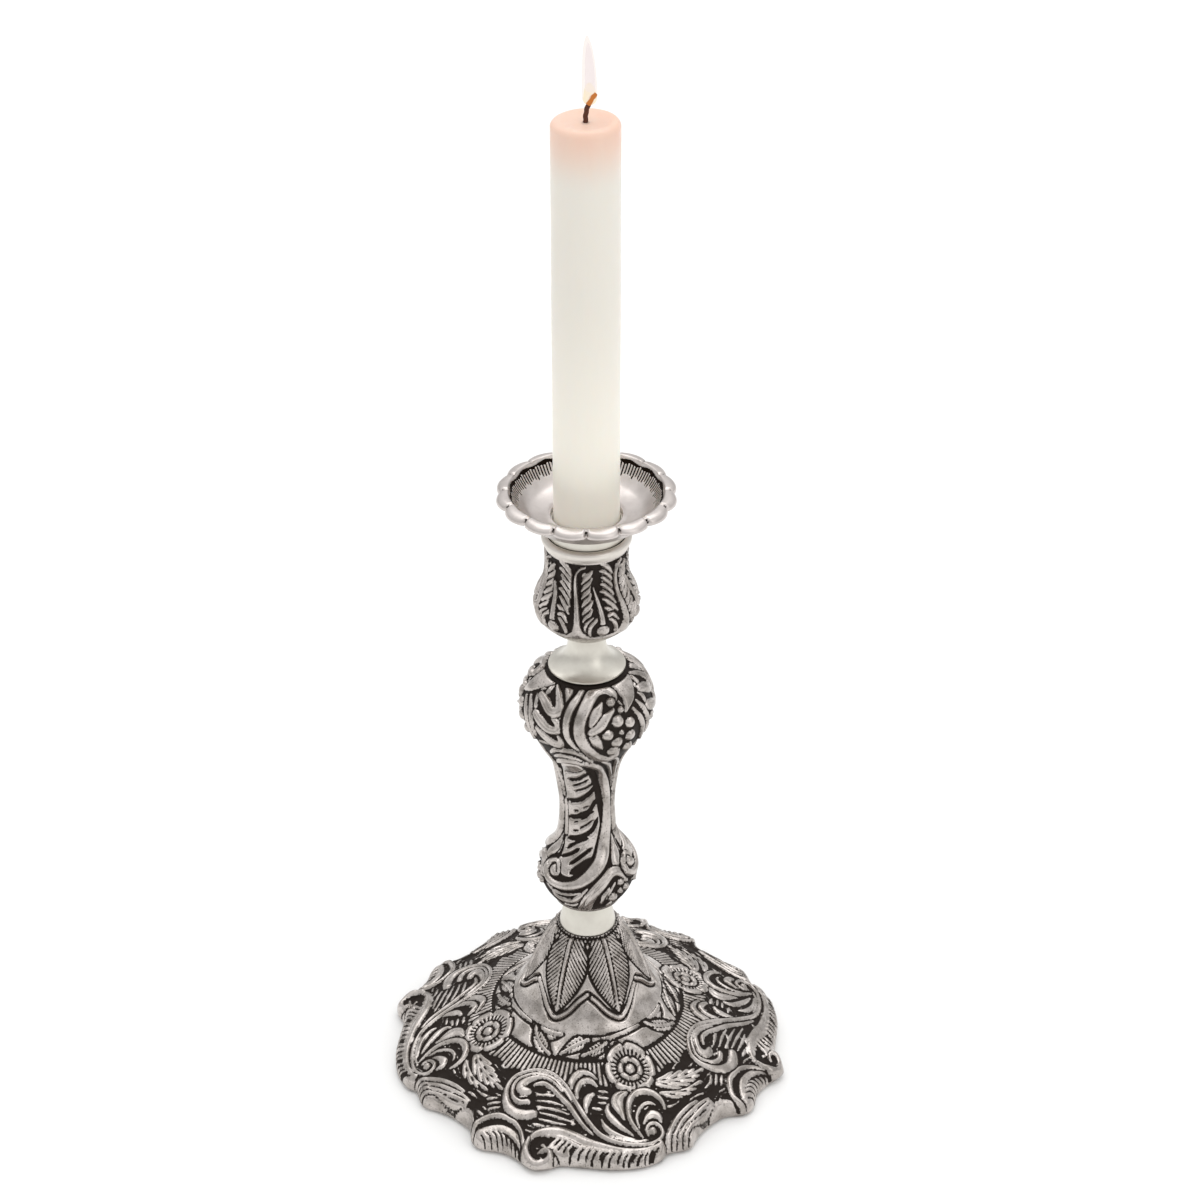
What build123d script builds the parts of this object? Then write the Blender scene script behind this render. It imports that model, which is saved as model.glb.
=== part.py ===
from build123d import *

import math
import os

# A cast silver-finish candlestick, built from the sections that come apart on a bench.
#
# A hollow foot, a stem and a candle cup are castings. Two plain turned collars sit between them, and a
# threaded rod down the middle clamps the whole column together. The nozzle, a drip pan on a socket tube,
# lifts out of the cup, and the candle lifts out of the nozzle.
#
# Millimetres. +Z is up, and the origin is the centre of the foot on the surface that it stands on.
# Turned outlines are lists of (radius, height).

# Foot
FOOT_WALL = 3.5
FOOT_TOP = 57.0
FOOT_TOP_RADIUS = 10.6
FOOT_OUTER_RADIUS = 76.0
FOOT_FIRST_KNOB = 255.5  # degrees around from +X to one of the knobs on the rim
FOOT_REPEATS = 4
BOARD_RADIUS = 58.0
BOARD_THICKNESS = 2.0
LEDGE_WIDTH = 2.0  # of the step inside the rim that the board seats on
FELT_THICKNESS = 1.5
COVER_CLEARANCE = 0.25

# Heights of the seams in the column
STEM_BOTTOM = 67.5
STEM_TOP = 164.6
CUP_BOTTOM = 177.0
LIP_BOTTOM = 211.7
LIP_TOP = 216.0

# Radii of the column at the seams
COLLAR_BOTTOM_RADIUS = 10.0
COLLAR_TOP_RADIUS = 8.2
BALL_SEAM_RADIUS = 13.1
NECK_RADIUS = 6.5
LIP_RADIUS = 15.05

# Nozzle and candle
CANDLE_RADIUS = 11.0
CANDLE_CLEARANCE = 0.25
SLEEVE_WALL = 0.65
SLEEVE_BOTTOM = 195.0
SLEEVE_BASE_THICKNESS = 1.0
CUP_CLEARANCE = 0.3
RING_RADIUS = 13.0
PAN_UNDERSIDE = 221.5
PAN_FLOOR = 223.0
PAN_RIM = 232.5
SCALLOPS = 16
SCALLOP_RADIUS = 9.0
SCALLOP_CENTRE = 20.8
CANDLE_TOP = 361.0
CANDLE_SHOULDER = 2.2
WICK_RADIUS = 0.75
WICK_BEND_START = 361.5
WICK_BEND_RADIUS = 11.6
WICK_BEND_ANGLE = 43.5

# Clamping hardware, M6
ROD_RADIUS = 3.0
ROD_HOLE_RADIUS = 3.3
THREAD_PITCH = 1.0
THREAD_DEPTH = 0.6
THREADED_LENGTH = 16.0
ROD_BOTTOM = 42.5
ROD_TOP = 190.0
NUT_ACROSS_FLATS = 10.0
NUT_HEIGHT = 5.0
WASHER_THICKNESS = 1.6
CUP_WASHER_RADIUS = 6.0
FOOT_WASHER_RADIUS = 9.0
SPRING_WASHER_RADIUS = 5.6
SPRING_WASHER_THICKNESS = 1.5
SPRING_WASHER_SLIT = 1.2
THREAD_PLAY = 0.03

# Registers: short spigots that centre one section on the next
SPIGOT_LENGTH = 1.8
SPIGOT_PLAY = 0.1
COLLAR_SPIGOT_RADIUS = 6.0
BALL_SPIGOT_RADIUS = 8.0
NECK_SPIGOT_RADIUS = 4.6

# One quarter of the foot's outline: (degrees on from a knob, radius). The knob is at the start, a long
# feathered lobe follows, then a ribbon lobe, and then a crescent leaf.
FOOT_OUTLINE = [
    (0, 72.0),
    (4, 70.0),
    (7, 68.0),
    (14, 68.4),
    (22, 70.0),
    (30, 70.8),
    (36, 69.8),
    (39.5, 67.4),
    (46, 68.6),
    (50, 66.0),
    (54.5, 64.0),
    (60, 63.4),
    (64.5, 64.4),
    (68.5, 68.6),
    (72, 69.6),
    (78, 67.6),
    (83, 68.6),
    (87, 71.0),
]

FOOT_PROFILE = [
    (FOOT_TOP_RADIUS, FOOT_TOP),
    (13.9, 53.0),
    (18.9, 42.0),
    (22.9, 31.0),
    (27.5, 25.6),
    (33.7, 21.4),
    (40.0, 18.4),
    (52.0, 13.6),
    (63.5, 8.5),
    (FOOT_OUTER_RADIUS, 2.6),
]

STEM_PROFILE = [
    (COLLAR_TOP_RADIUS, STEM_BOTTOM),
    (11.8, 69.3),
    (14.8, 71.9),
    (17.2, 77.0),
    (17.2, 83.5),
    (13.8, 90.0),
    (10.5, 96.0),
    (9.6, 105.0),
    (9.8, 114.0),
    (11.8, 126.0),
    (15.6, 132.6),
    (20.4, 140.0),
    (23.1, 149.0),
    (21.6, 156.5),
    (18.6, 161.0),
    (BALL_SEAM_RADIUS, STEM_TOP),
]

NECK_PROFILE = [
    (BALL_SEAM_RADIUS, STEM_TOP + 0.6),
    (9.6, 167.2),
    (7.4, 170.0),
    (NECK_RADIUS, 173.6),
    (6.6, CUP_BOTTOM),
]

CUP_PROFILE = [
    (6.6, CUP_BOTTOM),
    (10.8, 179.6),
    (15.8, 184.2),
    (17.8, 189.4),
    (16.8, 194.0),
    (14.6, 199.0),
    (13.8, 204.5),
    (13.9, LIP_BOTTOM),
]

# Derived sizes
SLEEVE_INNER = CANDLE_RADIUS + CANDLE_CLEARANCE
SLEEVE_OUTER = SLEEVE_INNER + SLEEVE_WALL
CUP_BORE = SLEEVE_OUTER + CUP_CLEARANCE
CANDLE_BOTTOM = SLEEVE_BOTTOM + SLEEVE_BASE_THICKNESS
CUP_FLOOR = CUP_BOTTOM + 4.0
CUP_WELL_TOP = 192.0
CUP_WELL_RADIUS = 9.0
FOOT_SEAT = FOOT_TOP - 4.0
BOARD_TOP = FELT_THICKNESS + BOARD_THICKNESS


def turned(*edges):
    """A solid of revolution about Z from edges that close an outline."""
    return revolve(Plane.XZ * make_face(edges), Axis.Z)


def spindle(profile):
    """A solid turned from a smooth outer profile that runs from its bottom or its top to the other end."""
    (first_radius, first_height), (last_radius, last_height) = profile[0], profile[-1]
    return turned(
        Spline(*profile),
        Polyline(
            (last_radius, last_height),
            (0, last_height),
            (0, first_height),
            (first_radius, first_height),
        ),
    )


def post(radius, bottom, top):
    """An upright cylinder on the axis."""
    blank = Cylinder(radius, top - bottom, align=(Align.CENTER, Align.CENTER, Align.MIN))
    return Pos(0, 0, bottom) * blank


def ring(inner, outer, bottom, top):
    """A flat ring on the axis."""
    return post(outer, bottom, top) - post(inner, bottom - 1, top + 1)


def inset(profile, distance):
    """The profile moved inwards by a distance, square to itself at each point."""
    moved = []
    for i, (radius, height) in enumerate(profile):
        before = profile[max(i - 1, 0)]
        after = profile[min(i + 1, len(profile) - 1)]
        along = math.hypot(after[0] - before[0], after[1] - before[1])
        moved.append(
            (
                radius + distance * (after[1] - before[1]) / along,
                height - distance * (after[0] - before[0]) / along,
            )
        )
    return moved


def foot_outline():
    """The closed outline of the foot, one quarter repeated around the axis."""
    points = []
    for repeat in range(FOOT_REPEATS):
        for offset, radius in FOOT_OUTLINE:
            angle = math.radians(FOOT_FIRST_KNOB + offset + repeat * 360 / FOOT_REPEATS)
            points.append((radius * math.cos(angle), radius * math.sin(angle)))
    return make_face(Spline(*points, periodic=True))


def foot_casting():
    dome = turned(
        Spline(*FOOT_PROFILE),
        Polyline(
            FOOT_PROFILE[-1],
            (FOOT_OUTER_RADIUS, 0),
            (0, 0),
            (0, FOOT_TOP),
            FOOT_PROFILE[0],
        ),
    )
    blank = dome & extrude(foot_outline(), FOOT_TOP)

    ledge = (BOARD_RADIUS - LEDGE_WIDTH, BOARD_TOP)
    seat = (FOOT_WASHER_RADIUS + 1, FOOT_SEAT)
    under = [point for point in inset(FOOT_PROFILE[1:], FOOT_WALL) if point[0] < ledge[0]]
    hollow = turned(
        Spline(seat, *under),
        Polyline(under[-1], ledge, (0, BOARD_TOP), (0, FOOT_SEAT), seat),
    )
    recess = post(BOARD_RADIUS + COVER_CLEARANCE, -1, BOARD_TOP)
    hole = post(ROD_HOLE_RADIUS, FOOT_SEAT - 1, FOOT_TOP + 1)
    spigot = ring(ROD_HOLE_RADIUS, COLLAR_SPIGOT_RADIUS, FOOT_TOP, FOOT_TOP + SPIGOT_LENGTH)
    return blank - hollow - recess - hole + spigot


def lower_collar():
    """The plain spool that the stem stands on, which spreads towards the foot."""
    spool = spindle(
        [
            (COLLAR_BOTTOM_RADIUS, FOOT_TOP),
            (9.4, FOOT_TOP + 2.8),
            (8.6, FOOT_TOP + 6.4),
            (COLLAR_TOP_RADIUS, STEM_BOTTOM),
        ]
    )
    socket_radius = COLLAR_SPIGOT_RADIUS + SPIGOT_PLAY
    foot_socket = post(socket_radius, FOOT_TOP - 1, FOOT_TOP + SPIGOT_LENGTH + SPIGOT_PLAY)
    stem_socket = post(socket_radius, STEM_BOTTOM - SPIGOT_LENGTH - SPIGOT_PLAY, STEM_BOTTOM + 1)
    return spool - foot_socket - stem_socket - post(ROD_HOLE_RADIUS, FOOT_TOP, STEM_BOTTOM)


def stem_casting():
    """Knop, shaft and ball in one piece, cored out between a solid land at each end."""
    land = 6.0
    core_radius = 5.6
    body = spindle(STEM_PROFILE)
    body += post(COLLAR_SPIGOT_RADIUS, STEM_BOTTOM - SPIGOT_LENGTH, STEM_BOTTOM + 1)
    body += post(BALL_SPIGOT_RADIUS, STEM_TOP - 1, STEM_TOP + SPIGOT_LENGTH)
    body -= post(core_radius, STEM_BOTTOM + land, STEM_TOP - land)
    return body - post(ROD_HOLE_RADIUS, STEM_BOTTOM - 5, STEM_TOP + 5)


def upper_collar():
    """The plain trumpet-shaped neck that carries the cup."""
    foot_edge = Polyline((0, CUP_BOTTOM), (0, STEM_TOP), (BALL_SEAM_RADIUS, STEM_TOP), NECK_PROFILE[0])
    neck = turned(Spline(*NECK_PROFILE), Line(NECK_PROFILE[-1], (0, CUP_BOTTOM)), foot_edge)
    neck += post(NECK_SPIGOT_RADIUS, CUP_BOTTOM - 1, CUP_BOTTOM + SPIGOT_LENGTH)
    neck -= post(BALL_SPIGOT_RADIUS + SPIGOT_PLAY, STEM_TOP - 1, STEM_TOP + SPIGOT_LENGTH + SPIGOT_PLAY)
    return neck - post(ROD_HOLE_RADIUS, STEM_TOP, CUP_BOTTOM + 5)


def candle_cup():
    lip_crown = (RING_RADIUS + 0.4, LIP_TOP)
    cup = turned(
        Spline(*CUP_PROFILE),
        Spline(
            CUP_PROFILE[-1],
            (LIP_RADIUS - 0.35, LIP_TOP - 2.7),
            (LIP_RADIUS, LIP_TOP - 1.4),
            (LIP_RADIUS - 0.45, LIP_TOP - 0.5),
            lip_crown,
        ),
        Polyline(lip_crown, (0, LIP_TOP), (0, CUP_BOTTOM), CUP_PROFILE[0]),
    )
    cup -= post(CUP_BORE, CUP_WELL_TOP, LIP_TOP + 1)
    cup -= post(CUP_WELL_RADIUS, CUP_FLOOR, CUP_WELL_TOP + 1)
    cup -= post(NECK_SPIGOT_RADIUS + SPIGOT_PLAY, CUP_BOTTOM - 1, CUP_BOTTOM + SPIGOT_LENGTH + SPIGOT_PLAY)
    return cup - post(ROD_HOLE_RADIUS, CUP_BOTTOM, CUP_FLOOR + 1)


def tie_rod():
    """The M6 rod, with a thread form of plain grooves at each end."""
    outline = [(0, ROD_BOTTOM)]
    root = ROD_RADIUS - THREAD_DEPTH
    turns = int(THREADED_LENGTH / THREAD_PITCH)
    for start in (ROD_BOTTOM, ROD_TOP - THREADED_LENGTH):
        for turn in range(turns):
            height = start + turn * THREAD_PITCH
            outline.append((root, height))
            outline.append((ROD_RADIUS, height + THREAD_PITCH / 2))
        outline.append((root, start + THREADED_LENGTH))
    outline.append((0, ROD_TOP))
    return turned(Polyline(*outline, close=True))


def nut(bottom):
    """A hexagon nut with its corners turned down on both faces."""
    corner = NUT_ACROSS_FLATS / math.sqrt(3)
    blank = Pos(0, 0, bottom) * extrude(RegularPolygon(corner, 6), NUT_HEIGHT)
    bevel = 0.5
    turned_down = turned(
        Polyline(
            (0, bottom),
            (NUT_ACROSS_FLATS / 2, bottom),
            (corner, bottom + bevel),
            (corner, bottom + NUT_HEIGHT - bevel),
            (NUT_ACROSS_FLATS / 2, bottom + NUT_HEIGHT),
            (0, bottom + NUT_HEIGHT),
            close=True,
        )
    )
    return (blank & turned_down) - post(ROD_RADIUS + THREAD_PLAY, bottom - 1, bottom + NUT_HEIGHT + 1)


def spring_washer(top):
    bottom = top - SPRING_WASHER_THICKNESS
    slit = Pos(SPRING_WASHER_RADIUS, 0, bottom) * Box(
        2 * (SPRING_WASHER_RADIUS - ROD_RADIUS) + 2, SPRING_WASHER_SLIT, 4 * SPRING_WASHER_THICKNESS
    )
    return ring(ROD_HOLE_RADIUS, SPRING_WASHER_RADIUS, bottom, top) - slit


def scalloped_edge():
    """The outline of the drip pan: a disc with round lobes all the way round its edge."""
    outline = Circle(SCALLOP_CENTRE + SCALLOP_RADIUS - 3)
    for lobe in PolarLocations(SCALLOP_CENTRE, SCALLOPS):
        outline += lobe * Circle(SCALLOP_RADIUS)
    return outline


def drip_pan():
    """A thin dish with a raised rim that rolls outwards and down into a scalloped flange."""
    upper = [
        (14.0, PAN_FLOOR),
        (19.0, PAN_FLOOR + 1.4),
        (23.0, PAN_FLOOR + 5.2),
        (25.2, PAN_FLOOR + 8.4),
        (26.8, PAN_RIM),
        (28.6, PAN_RIM - 0.6),
        (30.4, PAN_RIM - 2.7),
    ]
    lower = [
        (29.7, PAN_RIM - 3.1),
        (28.2, PAN_RIM - 1.6),
        (26.8, PAN_RIM - 1.2),
        (24.4, PAN_FLOOR + 5.6),
        (19.6, PAN_UNDERSIDE + 1.0),
        (15.0, PAN_UNDERSIDE),
    ]
    dish = turned(
        Line((SLEEVE_INNER, PAN_FLOOR), upper[0]),
        Spline(*upper, tangents=((1, 0), (0.6, -1))),
        Line(upper[-1], lower[0]),
        Spline(*lower, tangents=((-0.6, 1), (-1, 0))),
        Polyline(lower[-1], (SLEEVE_INNER, PAN_UNDERSIDE), (SLEEVE_INNER, PAN_FLOOR)),
    )
    return dish & (Pos(0, 0, PAN_UNDERSIDE - 1) * extrude(scalloped_edge(), PAN_RIM - PAN_UNDERSIDE + 2))


def socket_sleeve():
    """The thimble that the candle stands in, closed at the bottom."""
    tube = post(SLEEVE_OUTER, SLEEVE_BOTTOM, PAN_UNDERSIDE)
    return tube - post(SLEEVE_INNER, CANDLE_BOTTOM, PAN_UNDERSIDE + 1)


def candle():
    """A straight candle with a softened shoulder and a shallow melted hollow round the wick."""
    shoulder_start = CANDLE_TOP - CANDLE_SHOULDER
    edge = CANDLE_RADIUS - CANDLE_SHOULDER
    body = turned(
        Polyline((0, CANDLE_TOP - 0.8), (0, CANDLE_BOTTOM), (CANDLE_RADIUS, CANDLE_BOTTOM)),
        Line((CANDLE_RADIUS, CANDLE_BOTTOM), (CANDLE_RADIUS, shoulder_start)),
        TangentArc((CANDLE_RADIUS, shoulder_start), (edge, CANDLE_TOP), tangent=(0, 1)),
        Spline((edge, CANDLE_TOP), (edge / 2, CANDLE_TOP - 0.5), (0, CANDLE_TOP - 0.8)),
    )
    return body - post(WICK_RADIUS, CANDLE_BOTTOM + 2, CANDLE_TOP + 1)


def wick():
    """The wick runs the length of the candle and leans over where it stands out of the wax."""
    bottom = CANDLE_BOTTOM + 2
    stand = Line((0, 0, bottom), (0, 0, WICK_BEND_START))
    lean = math.radians(WICK_BEND_ANGLE)
    tip = (
        WICK_BEND_RADIUS * (1 - math.cos(lean)),
        0,
        WICK_BEND_START + WICK_BEND_RADIUS * math.sin(lean),
    )
    bend = TangentArc((0, 0, WICK_BEND_START), tip, tangent=(0, 0, 1))
    return sweep(Pos(0, 0, bottom) * Circle(WICK_RADIUS), path=Wire([stand, bend]))


def parts():
    """Every node and its solid."""
    foot_washer_bottom = FOOT_SEAT - WASHER_THICKNESS
    spring_washer_bottom = foot_washer_bottom - SPRING_WASHER_THICKNESS
    cup_washer_top = CUP_FLOOR + WASHER_THICKNESS
    return {
        "foot_casting": foot_casting(),
        "cover_board": post(BOARD_RADIUS, FELT_THICKNESS, BOARD_TOP),
        "felt_pad": post(BOARD_RADIUS, 0, FELT_THICKNESS),
        "foot_washer": ring(ROD_HOLE_RADIUS, FOOT_WASHER_RADIUS, foot_washer_bottom, FOOT_SEAT),
        "foot_spring_washer": spring_washer(foot_washer_bottom),
        "foot_nut": nut(spring_washer_bottom - NUT_HEIGHT),
        "tie_rod": tie_rod(),
        "lower_collar": lower_collar(),
        "stem_casting": stem_casting(),
        "upper_collar": upper_collar(),
        "candle_cup": candle_cup(),
        "cup_washer": ring(ROD_HOLE_RADIUS, CUP_WASHER_RADIUS, CUP_FLOOR, cup_washer_top),
        "cup_nut": nut(cup_washer_top),
        "socket_sleeve": socket_sleeve(),
        "nozzle_ring": ring(SLEEVE_OUTER, RING_RADIUS, LIP_TOP, PAN_UNDERSIDE),
        "drip_pan": drip_pan(),
        "candle": candle(),
        "wick": wick(),
    }


os.makedirs("parts", exist_ok=True)
for node, solid in parts().items():
    export_step(solid, f"parts/{node}.step")
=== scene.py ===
"""The looks of an antiqued silver candlestick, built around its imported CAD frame.

Every cast surface is a turned form that carries relief. The relief is painted, one raised or cut shape
at a time, onto a height map over a chart of the surface, and then sampled onto a fine mesh. Charts and
profiles are in millimetres and degrees, and meshes are in metres.
"""

import math

import bmesh
import bpy
import numpy as np
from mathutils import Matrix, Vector


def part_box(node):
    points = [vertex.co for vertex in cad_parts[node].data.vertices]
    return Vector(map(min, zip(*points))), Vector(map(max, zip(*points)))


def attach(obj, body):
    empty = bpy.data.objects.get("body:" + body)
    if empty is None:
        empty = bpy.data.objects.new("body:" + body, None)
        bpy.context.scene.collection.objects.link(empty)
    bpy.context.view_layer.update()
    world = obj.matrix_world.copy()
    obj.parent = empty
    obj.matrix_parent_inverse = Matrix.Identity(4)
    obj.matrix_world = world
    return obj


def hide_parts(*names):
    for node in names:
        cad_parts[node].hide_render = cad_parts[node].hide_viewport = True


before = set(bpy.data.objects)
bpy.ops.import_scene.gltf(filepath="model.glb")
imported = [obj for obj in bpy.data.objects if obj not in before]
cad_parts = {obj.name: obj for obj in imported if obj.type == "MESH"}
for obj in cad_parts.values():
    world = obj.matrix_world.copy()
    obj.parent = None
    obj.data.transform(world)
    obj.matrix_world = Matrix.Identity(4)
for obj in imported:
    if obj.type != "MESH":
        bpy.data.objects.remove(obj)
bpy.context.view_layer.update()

MM = 0.001
TOP_LEVEL = 1.1  # height of plain raised metal above the dark ground, in mm of relief
PLAIN = -1.0  # tarnish value that marks plain turned metal
HIDDEN = 0.5  # tarnish of the walls that only show when the candlestick is taken apart
ROD_HOLE = 3.3  # radius of the hole that the tie rod passes through


# ---------------------------------------------------------------- lines and fields


def smooth(points, steps=8):
    """A curve through the points, as a finer list of points."""
    points = np.array(points, float)
    if len(points) < 3:
        return points
    ends = np.vstack([2 * points[0] - points[1], points, 2 * points[-1] - points[-2]])
    out = []
    for a, b, c, d in zip(ends[:-3], ends[1:-2], ends[2:-1], ends[3:]):
        for t in np.arange(steps) / steps:
            bend = (2 * a - 5 * b + 4 * c - d) * t**2
            twist = (3 * b - a - 3 * c + d) * t**3
            out.append(0.5 * (2 * b + (c - a) * t + bend + twist))
    out.append(points[-1])
    return np.array(out)


def ease(low, high, value):
    """0 below low, 1 above high, and smooth between."""
    t = np.clip((value - low) / (high - low), 0, 1)
    return t * t * (3 - 2 * t)


def box_blur(field, cells, wrap):
    """A soft average over squares 2 * cells + 1 wide, run twice. wrap says if columns join up."""
    for _ in range(2):
        for axis in (0, 1):
            pad = [(0, 0), (0, 0)]
            pad[axis] = (cells + 1, cells)
            padded = np.pad(field, pad, mode="wrap" if wrap and axis == 1 else "edge")
            total = np.cumsum(padded, axis=axis)
            n = field.shape[axis]
            upper = np.take(total, np.arange(2 * cells + 1, 2 * cells + 1 + n), axis=axis)
            lower = np.take(total, np.arange(0, n), axis=axis)
            field = (upper - lower) / (2 * cells + 1)
    return field


class Relief:
    """A height map in mm over a chart of a surface, with the dark ground at height 0."""

    moat = 0.45
    swell = 1.0  # how much wider than drawn each strip comes out

    def near(self, line, reach):
        """The chart near a line: distance from it, side of it, distance along it, and its length."""
        line = self.chart_points(line)
        rows, cols, x, y, sx, sy = self.window(line, reach)
        best = np.full(x.shape, 1e9)
        side = np.ones(x.shape)
        along = np.zeros(x.shape)
        travelled = 0.0
        for a, b in zip(line[:-1], line[1:]):
            ax, ay = (a[0] - x) * sx, (a[1] - y) * sy
            dx, dy = (b[0] - a[0]) * sx, (b[1] - a[1]) * sy
            length2 = np.maximum(dx * dx + dy * dy, 1e-12)
            t = np.clip(-(ax * dx + ay * dy) / length2, 0, 1)
            away = np.hypot(ax + t * dx, ay + t * dy)
            nearer = away < best
            length = float(np.mean(np.sqrt(length2)))
            best = np.where(nearer, away, best)
            side = np.where(nearer, np.sign(ax * dy - ay * dx), side)
            along = np.where(nearer, travelled + t * length, along)
            travelled += length
        return rows, cols, best, side, along, travelled

    def lay(self, rows, cols, cover, shape, moat_cover, moat_level):
        """Puts a shape over what is there, with a sunk margin round it."""

        def change(height):
            sunk = height * (1 - moat_cover) + np.minimum(height, moat_level) * moat_cover
            return sunk * (1 - cover) + shape * cover

        self.change(rows, cols, change)

    def band(self, points, widths, top=1.25, creases=(), crease=0.3, moat=None, round_off=0.55):
        """A raised strip with a rounded crown that follows a line.

        widths are full widths, spaced evenly along the line. creases are places across the strip,
        from -1 to 1, of thin cuts along it.
        """
        moat = self.moat if moat is None else moat
        line = smooth(points)
        widths = np.array(widths) * self.swell
        rows, cols, away, side, along, length = self.near(line, max(widths) / 2 + moat + 0.6)
        t = along / max(length, 1e-9)
        half = np.maximum(np.interp(t, np.linspace(0, 1, len(widths)), widths / 2), 0.02)
        across = np.clip(away / half, 0, 1)
        shape = top * (1 - round_off * across**2.4)
        signed = side * away / half
        for place in creases:
            depth = 0.75 * np.exp(-(((signed - place) * half / crease) ** 2))
            shape = shape - np.minimum(depth, 0.8) * ease(0.3, 0.8, half)
        cover = np.clip((half - away) / self.soft + 0.5, 0, 1)
        moat_cover = np.clip((half + moat - away) / self.soft + 0.5, 0, 1)
        self.lay(rows, cols, cover, shape, moat_cover, 0.0)

    def bands(self, *strokes, **style):
        """Several strips in one style, one over the other. Each is (points, widths)."""
        for points, widths in strokes:
            self.band(points, widths, **style)

    def leaf(self, points, width, top=1.2, veins=(1.2, 1.0), rib=0.35, heel=0.3, depth=0.45):
        """A leaf along a midrib: pointed, with a cut each side of the rib and slanted vein cuts."""
        tip = 0.12
        line = smooth(points)
        rows, cols, away, side, along, length = self.near(line, width / 2 + self.moat + 0.6)
        t = along / max(length, 1e-9)
        swell = np.sin(np.pi * np.clip(t, 0, 1) ** 0.75) ** 0.8
        half = width / 2 * np.maximum(swell, np.where(t < 0.5, heel * (1 - t), tip * (1 - t)))
        across = np.clip(away / np.maximum(half, 0.05), 0, 1)
        shape = top * (1 - 0.4 * across**2.5)
        shape = shape - 0.9 * np.exp(-(((away - rib - 0.3) / 0.26) ** 2)) * ease(0.5, 1.2, half)
        pitch, slant = veins
        phase = (along + slant * away) / pitch
        cut = np.abs(phase - np.round(phase)) * 2
        shape = shape - depth * ease(0.55, 0.85, cut) * ease(rib, rib + 0.5, away)
        cover = np.clip((half - away) / self.soft + 0.5, 0, 1)
        moat_cover = np.clip((half + self.moat - away) / self.soft + 0.5, 0, 1)
        self.lay(rows, cols, cover, shape, moat_cover, 0.0)

    def cut(self, points, width, depth=0.7):
        """A groove cut into what is there."""
        line = smooth(points)
        rows, cols, away, side, along, length = self.near(line, width + 0.4)
        taper = ease(0, 0.12, along / max(length, 1e-9)) * ease(1, 0.88, along / max(length, 1e-9))
        half = width / 2 * (0.35 + 0.65 * taper)
        groove = depth * ease(1.15, 0.5, away / half)

        def change(height):
            return height - np.minimum(groove, np.maximum(height - 0.05, 0))

        self.change(rows, cols, change)

    def around(self, centre, reach):
        """The chart around a point, as distance and direction in mm and degrees."""
        (cx, cy), = self.chart_points([centre])
        rows, cols, x, y, sx, sy = self.window(np.array([[cx, cy]]), reach)
        dx, dy = (x - cx) * sx, (y - cy) * sy
        return rows, cols, np.hypot(dx, dy), np.degrees(np.arctan2(dy, dx))

    def boss(self, centre, radius, top=1.6, moat=None):
        """A round berry or knob."""
        moat = self.moat if moat is None else moat
        rows, cols, away, _ = self.around(centre, radius + moat + 0.5)
        shape = top * np.sqrt(np.clip(1 - 0.8 * (away / radius) ** 2, 0, 1))
        cover = np.clip((radius - away) / self.soft + 0.5, 0, 1)
        moat_cover = np.clip((radius + moat - away) / self.soft + 0.5, 0, 1)
        self.lay(rows, cols, cover, shape, moat_cover, 0.0)

    def level(self, low, high, value):
        """Plain metal between two heights of a turned chart."""
        heights = self.profile.at(self.s)[1]
        self.height[(heights >= low) & (heights <= high)] = value

    def finished(self):
        """The height map softened to what casting keeps, and how tarnished each place is, from 0 to 1.

        Flat open metal keeps some of the patina that is wiped off raised edges.
        """
        height = box_blur(self.height, max(1, round(0.12 / self.step)), self.wrap)
        wide = box_blur(height, round(0.9 / self.step), self.wrap)
        sunk = np.clip((wide - height - 0.1) / 0.32, 0, 1)
        low = np.clip((0.68 - height) / 0.4, 0, 1)
        flat = 0.24 * ease(0.12, 0.02, np.abs(wide - height))
        return height, np.maximum(np.maximum(sunk, low), flat)


class PlanRelief(Relief):
    """Relief seen in plan, in mm from the axis, repeated in quarters round it."""

    wrap = False

    def __init__(self, reach, step):
        self.n = 2 * int(reach / step) + 1
        self.reach, self.step, self.soft = reach, step, step * 1.6
        self.height = np.zeros((self.n, self.n))
        axis = (np.arange(self.n) - (self.n - 1) / 2) * step
        self.x, self.y = np.meshgrid(axis, axis)

    def chart_points(self, points):
        """Places on the chart, which are given in chart units already."""
        return np.array(points, float)

    def window(self, line, reach):
        """The part of the chart within reach of a line, with its mm per chart unit."""
        low = np.floor((line.min(0) - reach) / self.step + (self.n - 1) / 2).astype(int)
        high = np.ceil((line.max(0) + reach) / self.step + (self.n - 1) / 2).astype(int) + 1
        low, high = np.clip(low, 0, self.n), np.clip(high, 0, self.n)
        rows, cols = slice(low[1], high[1]), slice(low[0], high[0])
        return rows, cols, self.x[rows, cols], self.y[rows, cols], 1.0, 1.0

    def change(self, rows, cols, change):
        """Applies a change to a window of the height map and to its repeats."""
        for quarter in range(4):
            turned = np.rot90(self.height, quarter)
            turned[rows, cols] = change(turned[rows, cols])

    def sampled(self, field, x, y):
        """A field of the chart read between its cells."""
        u = np.clip(x / self.step + (self.n - 1) / 2, 0, self.n - 1.001)
        v = np.clip(y / self.step + (self.n - 1) / 2, 0, self.n - 1.001)
        i, j = u.astype(int), v.astype(int)
        fu, fv = u - i, v - j
        top = field[j, i] * (1 - fu) + field[j, i + 1] * fu
        bottom = field[j + 1, i] * (1 - fu) + field[j + 1, i + 1] * fu
        return top * (1 - fv) + bottom * fv


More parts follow.
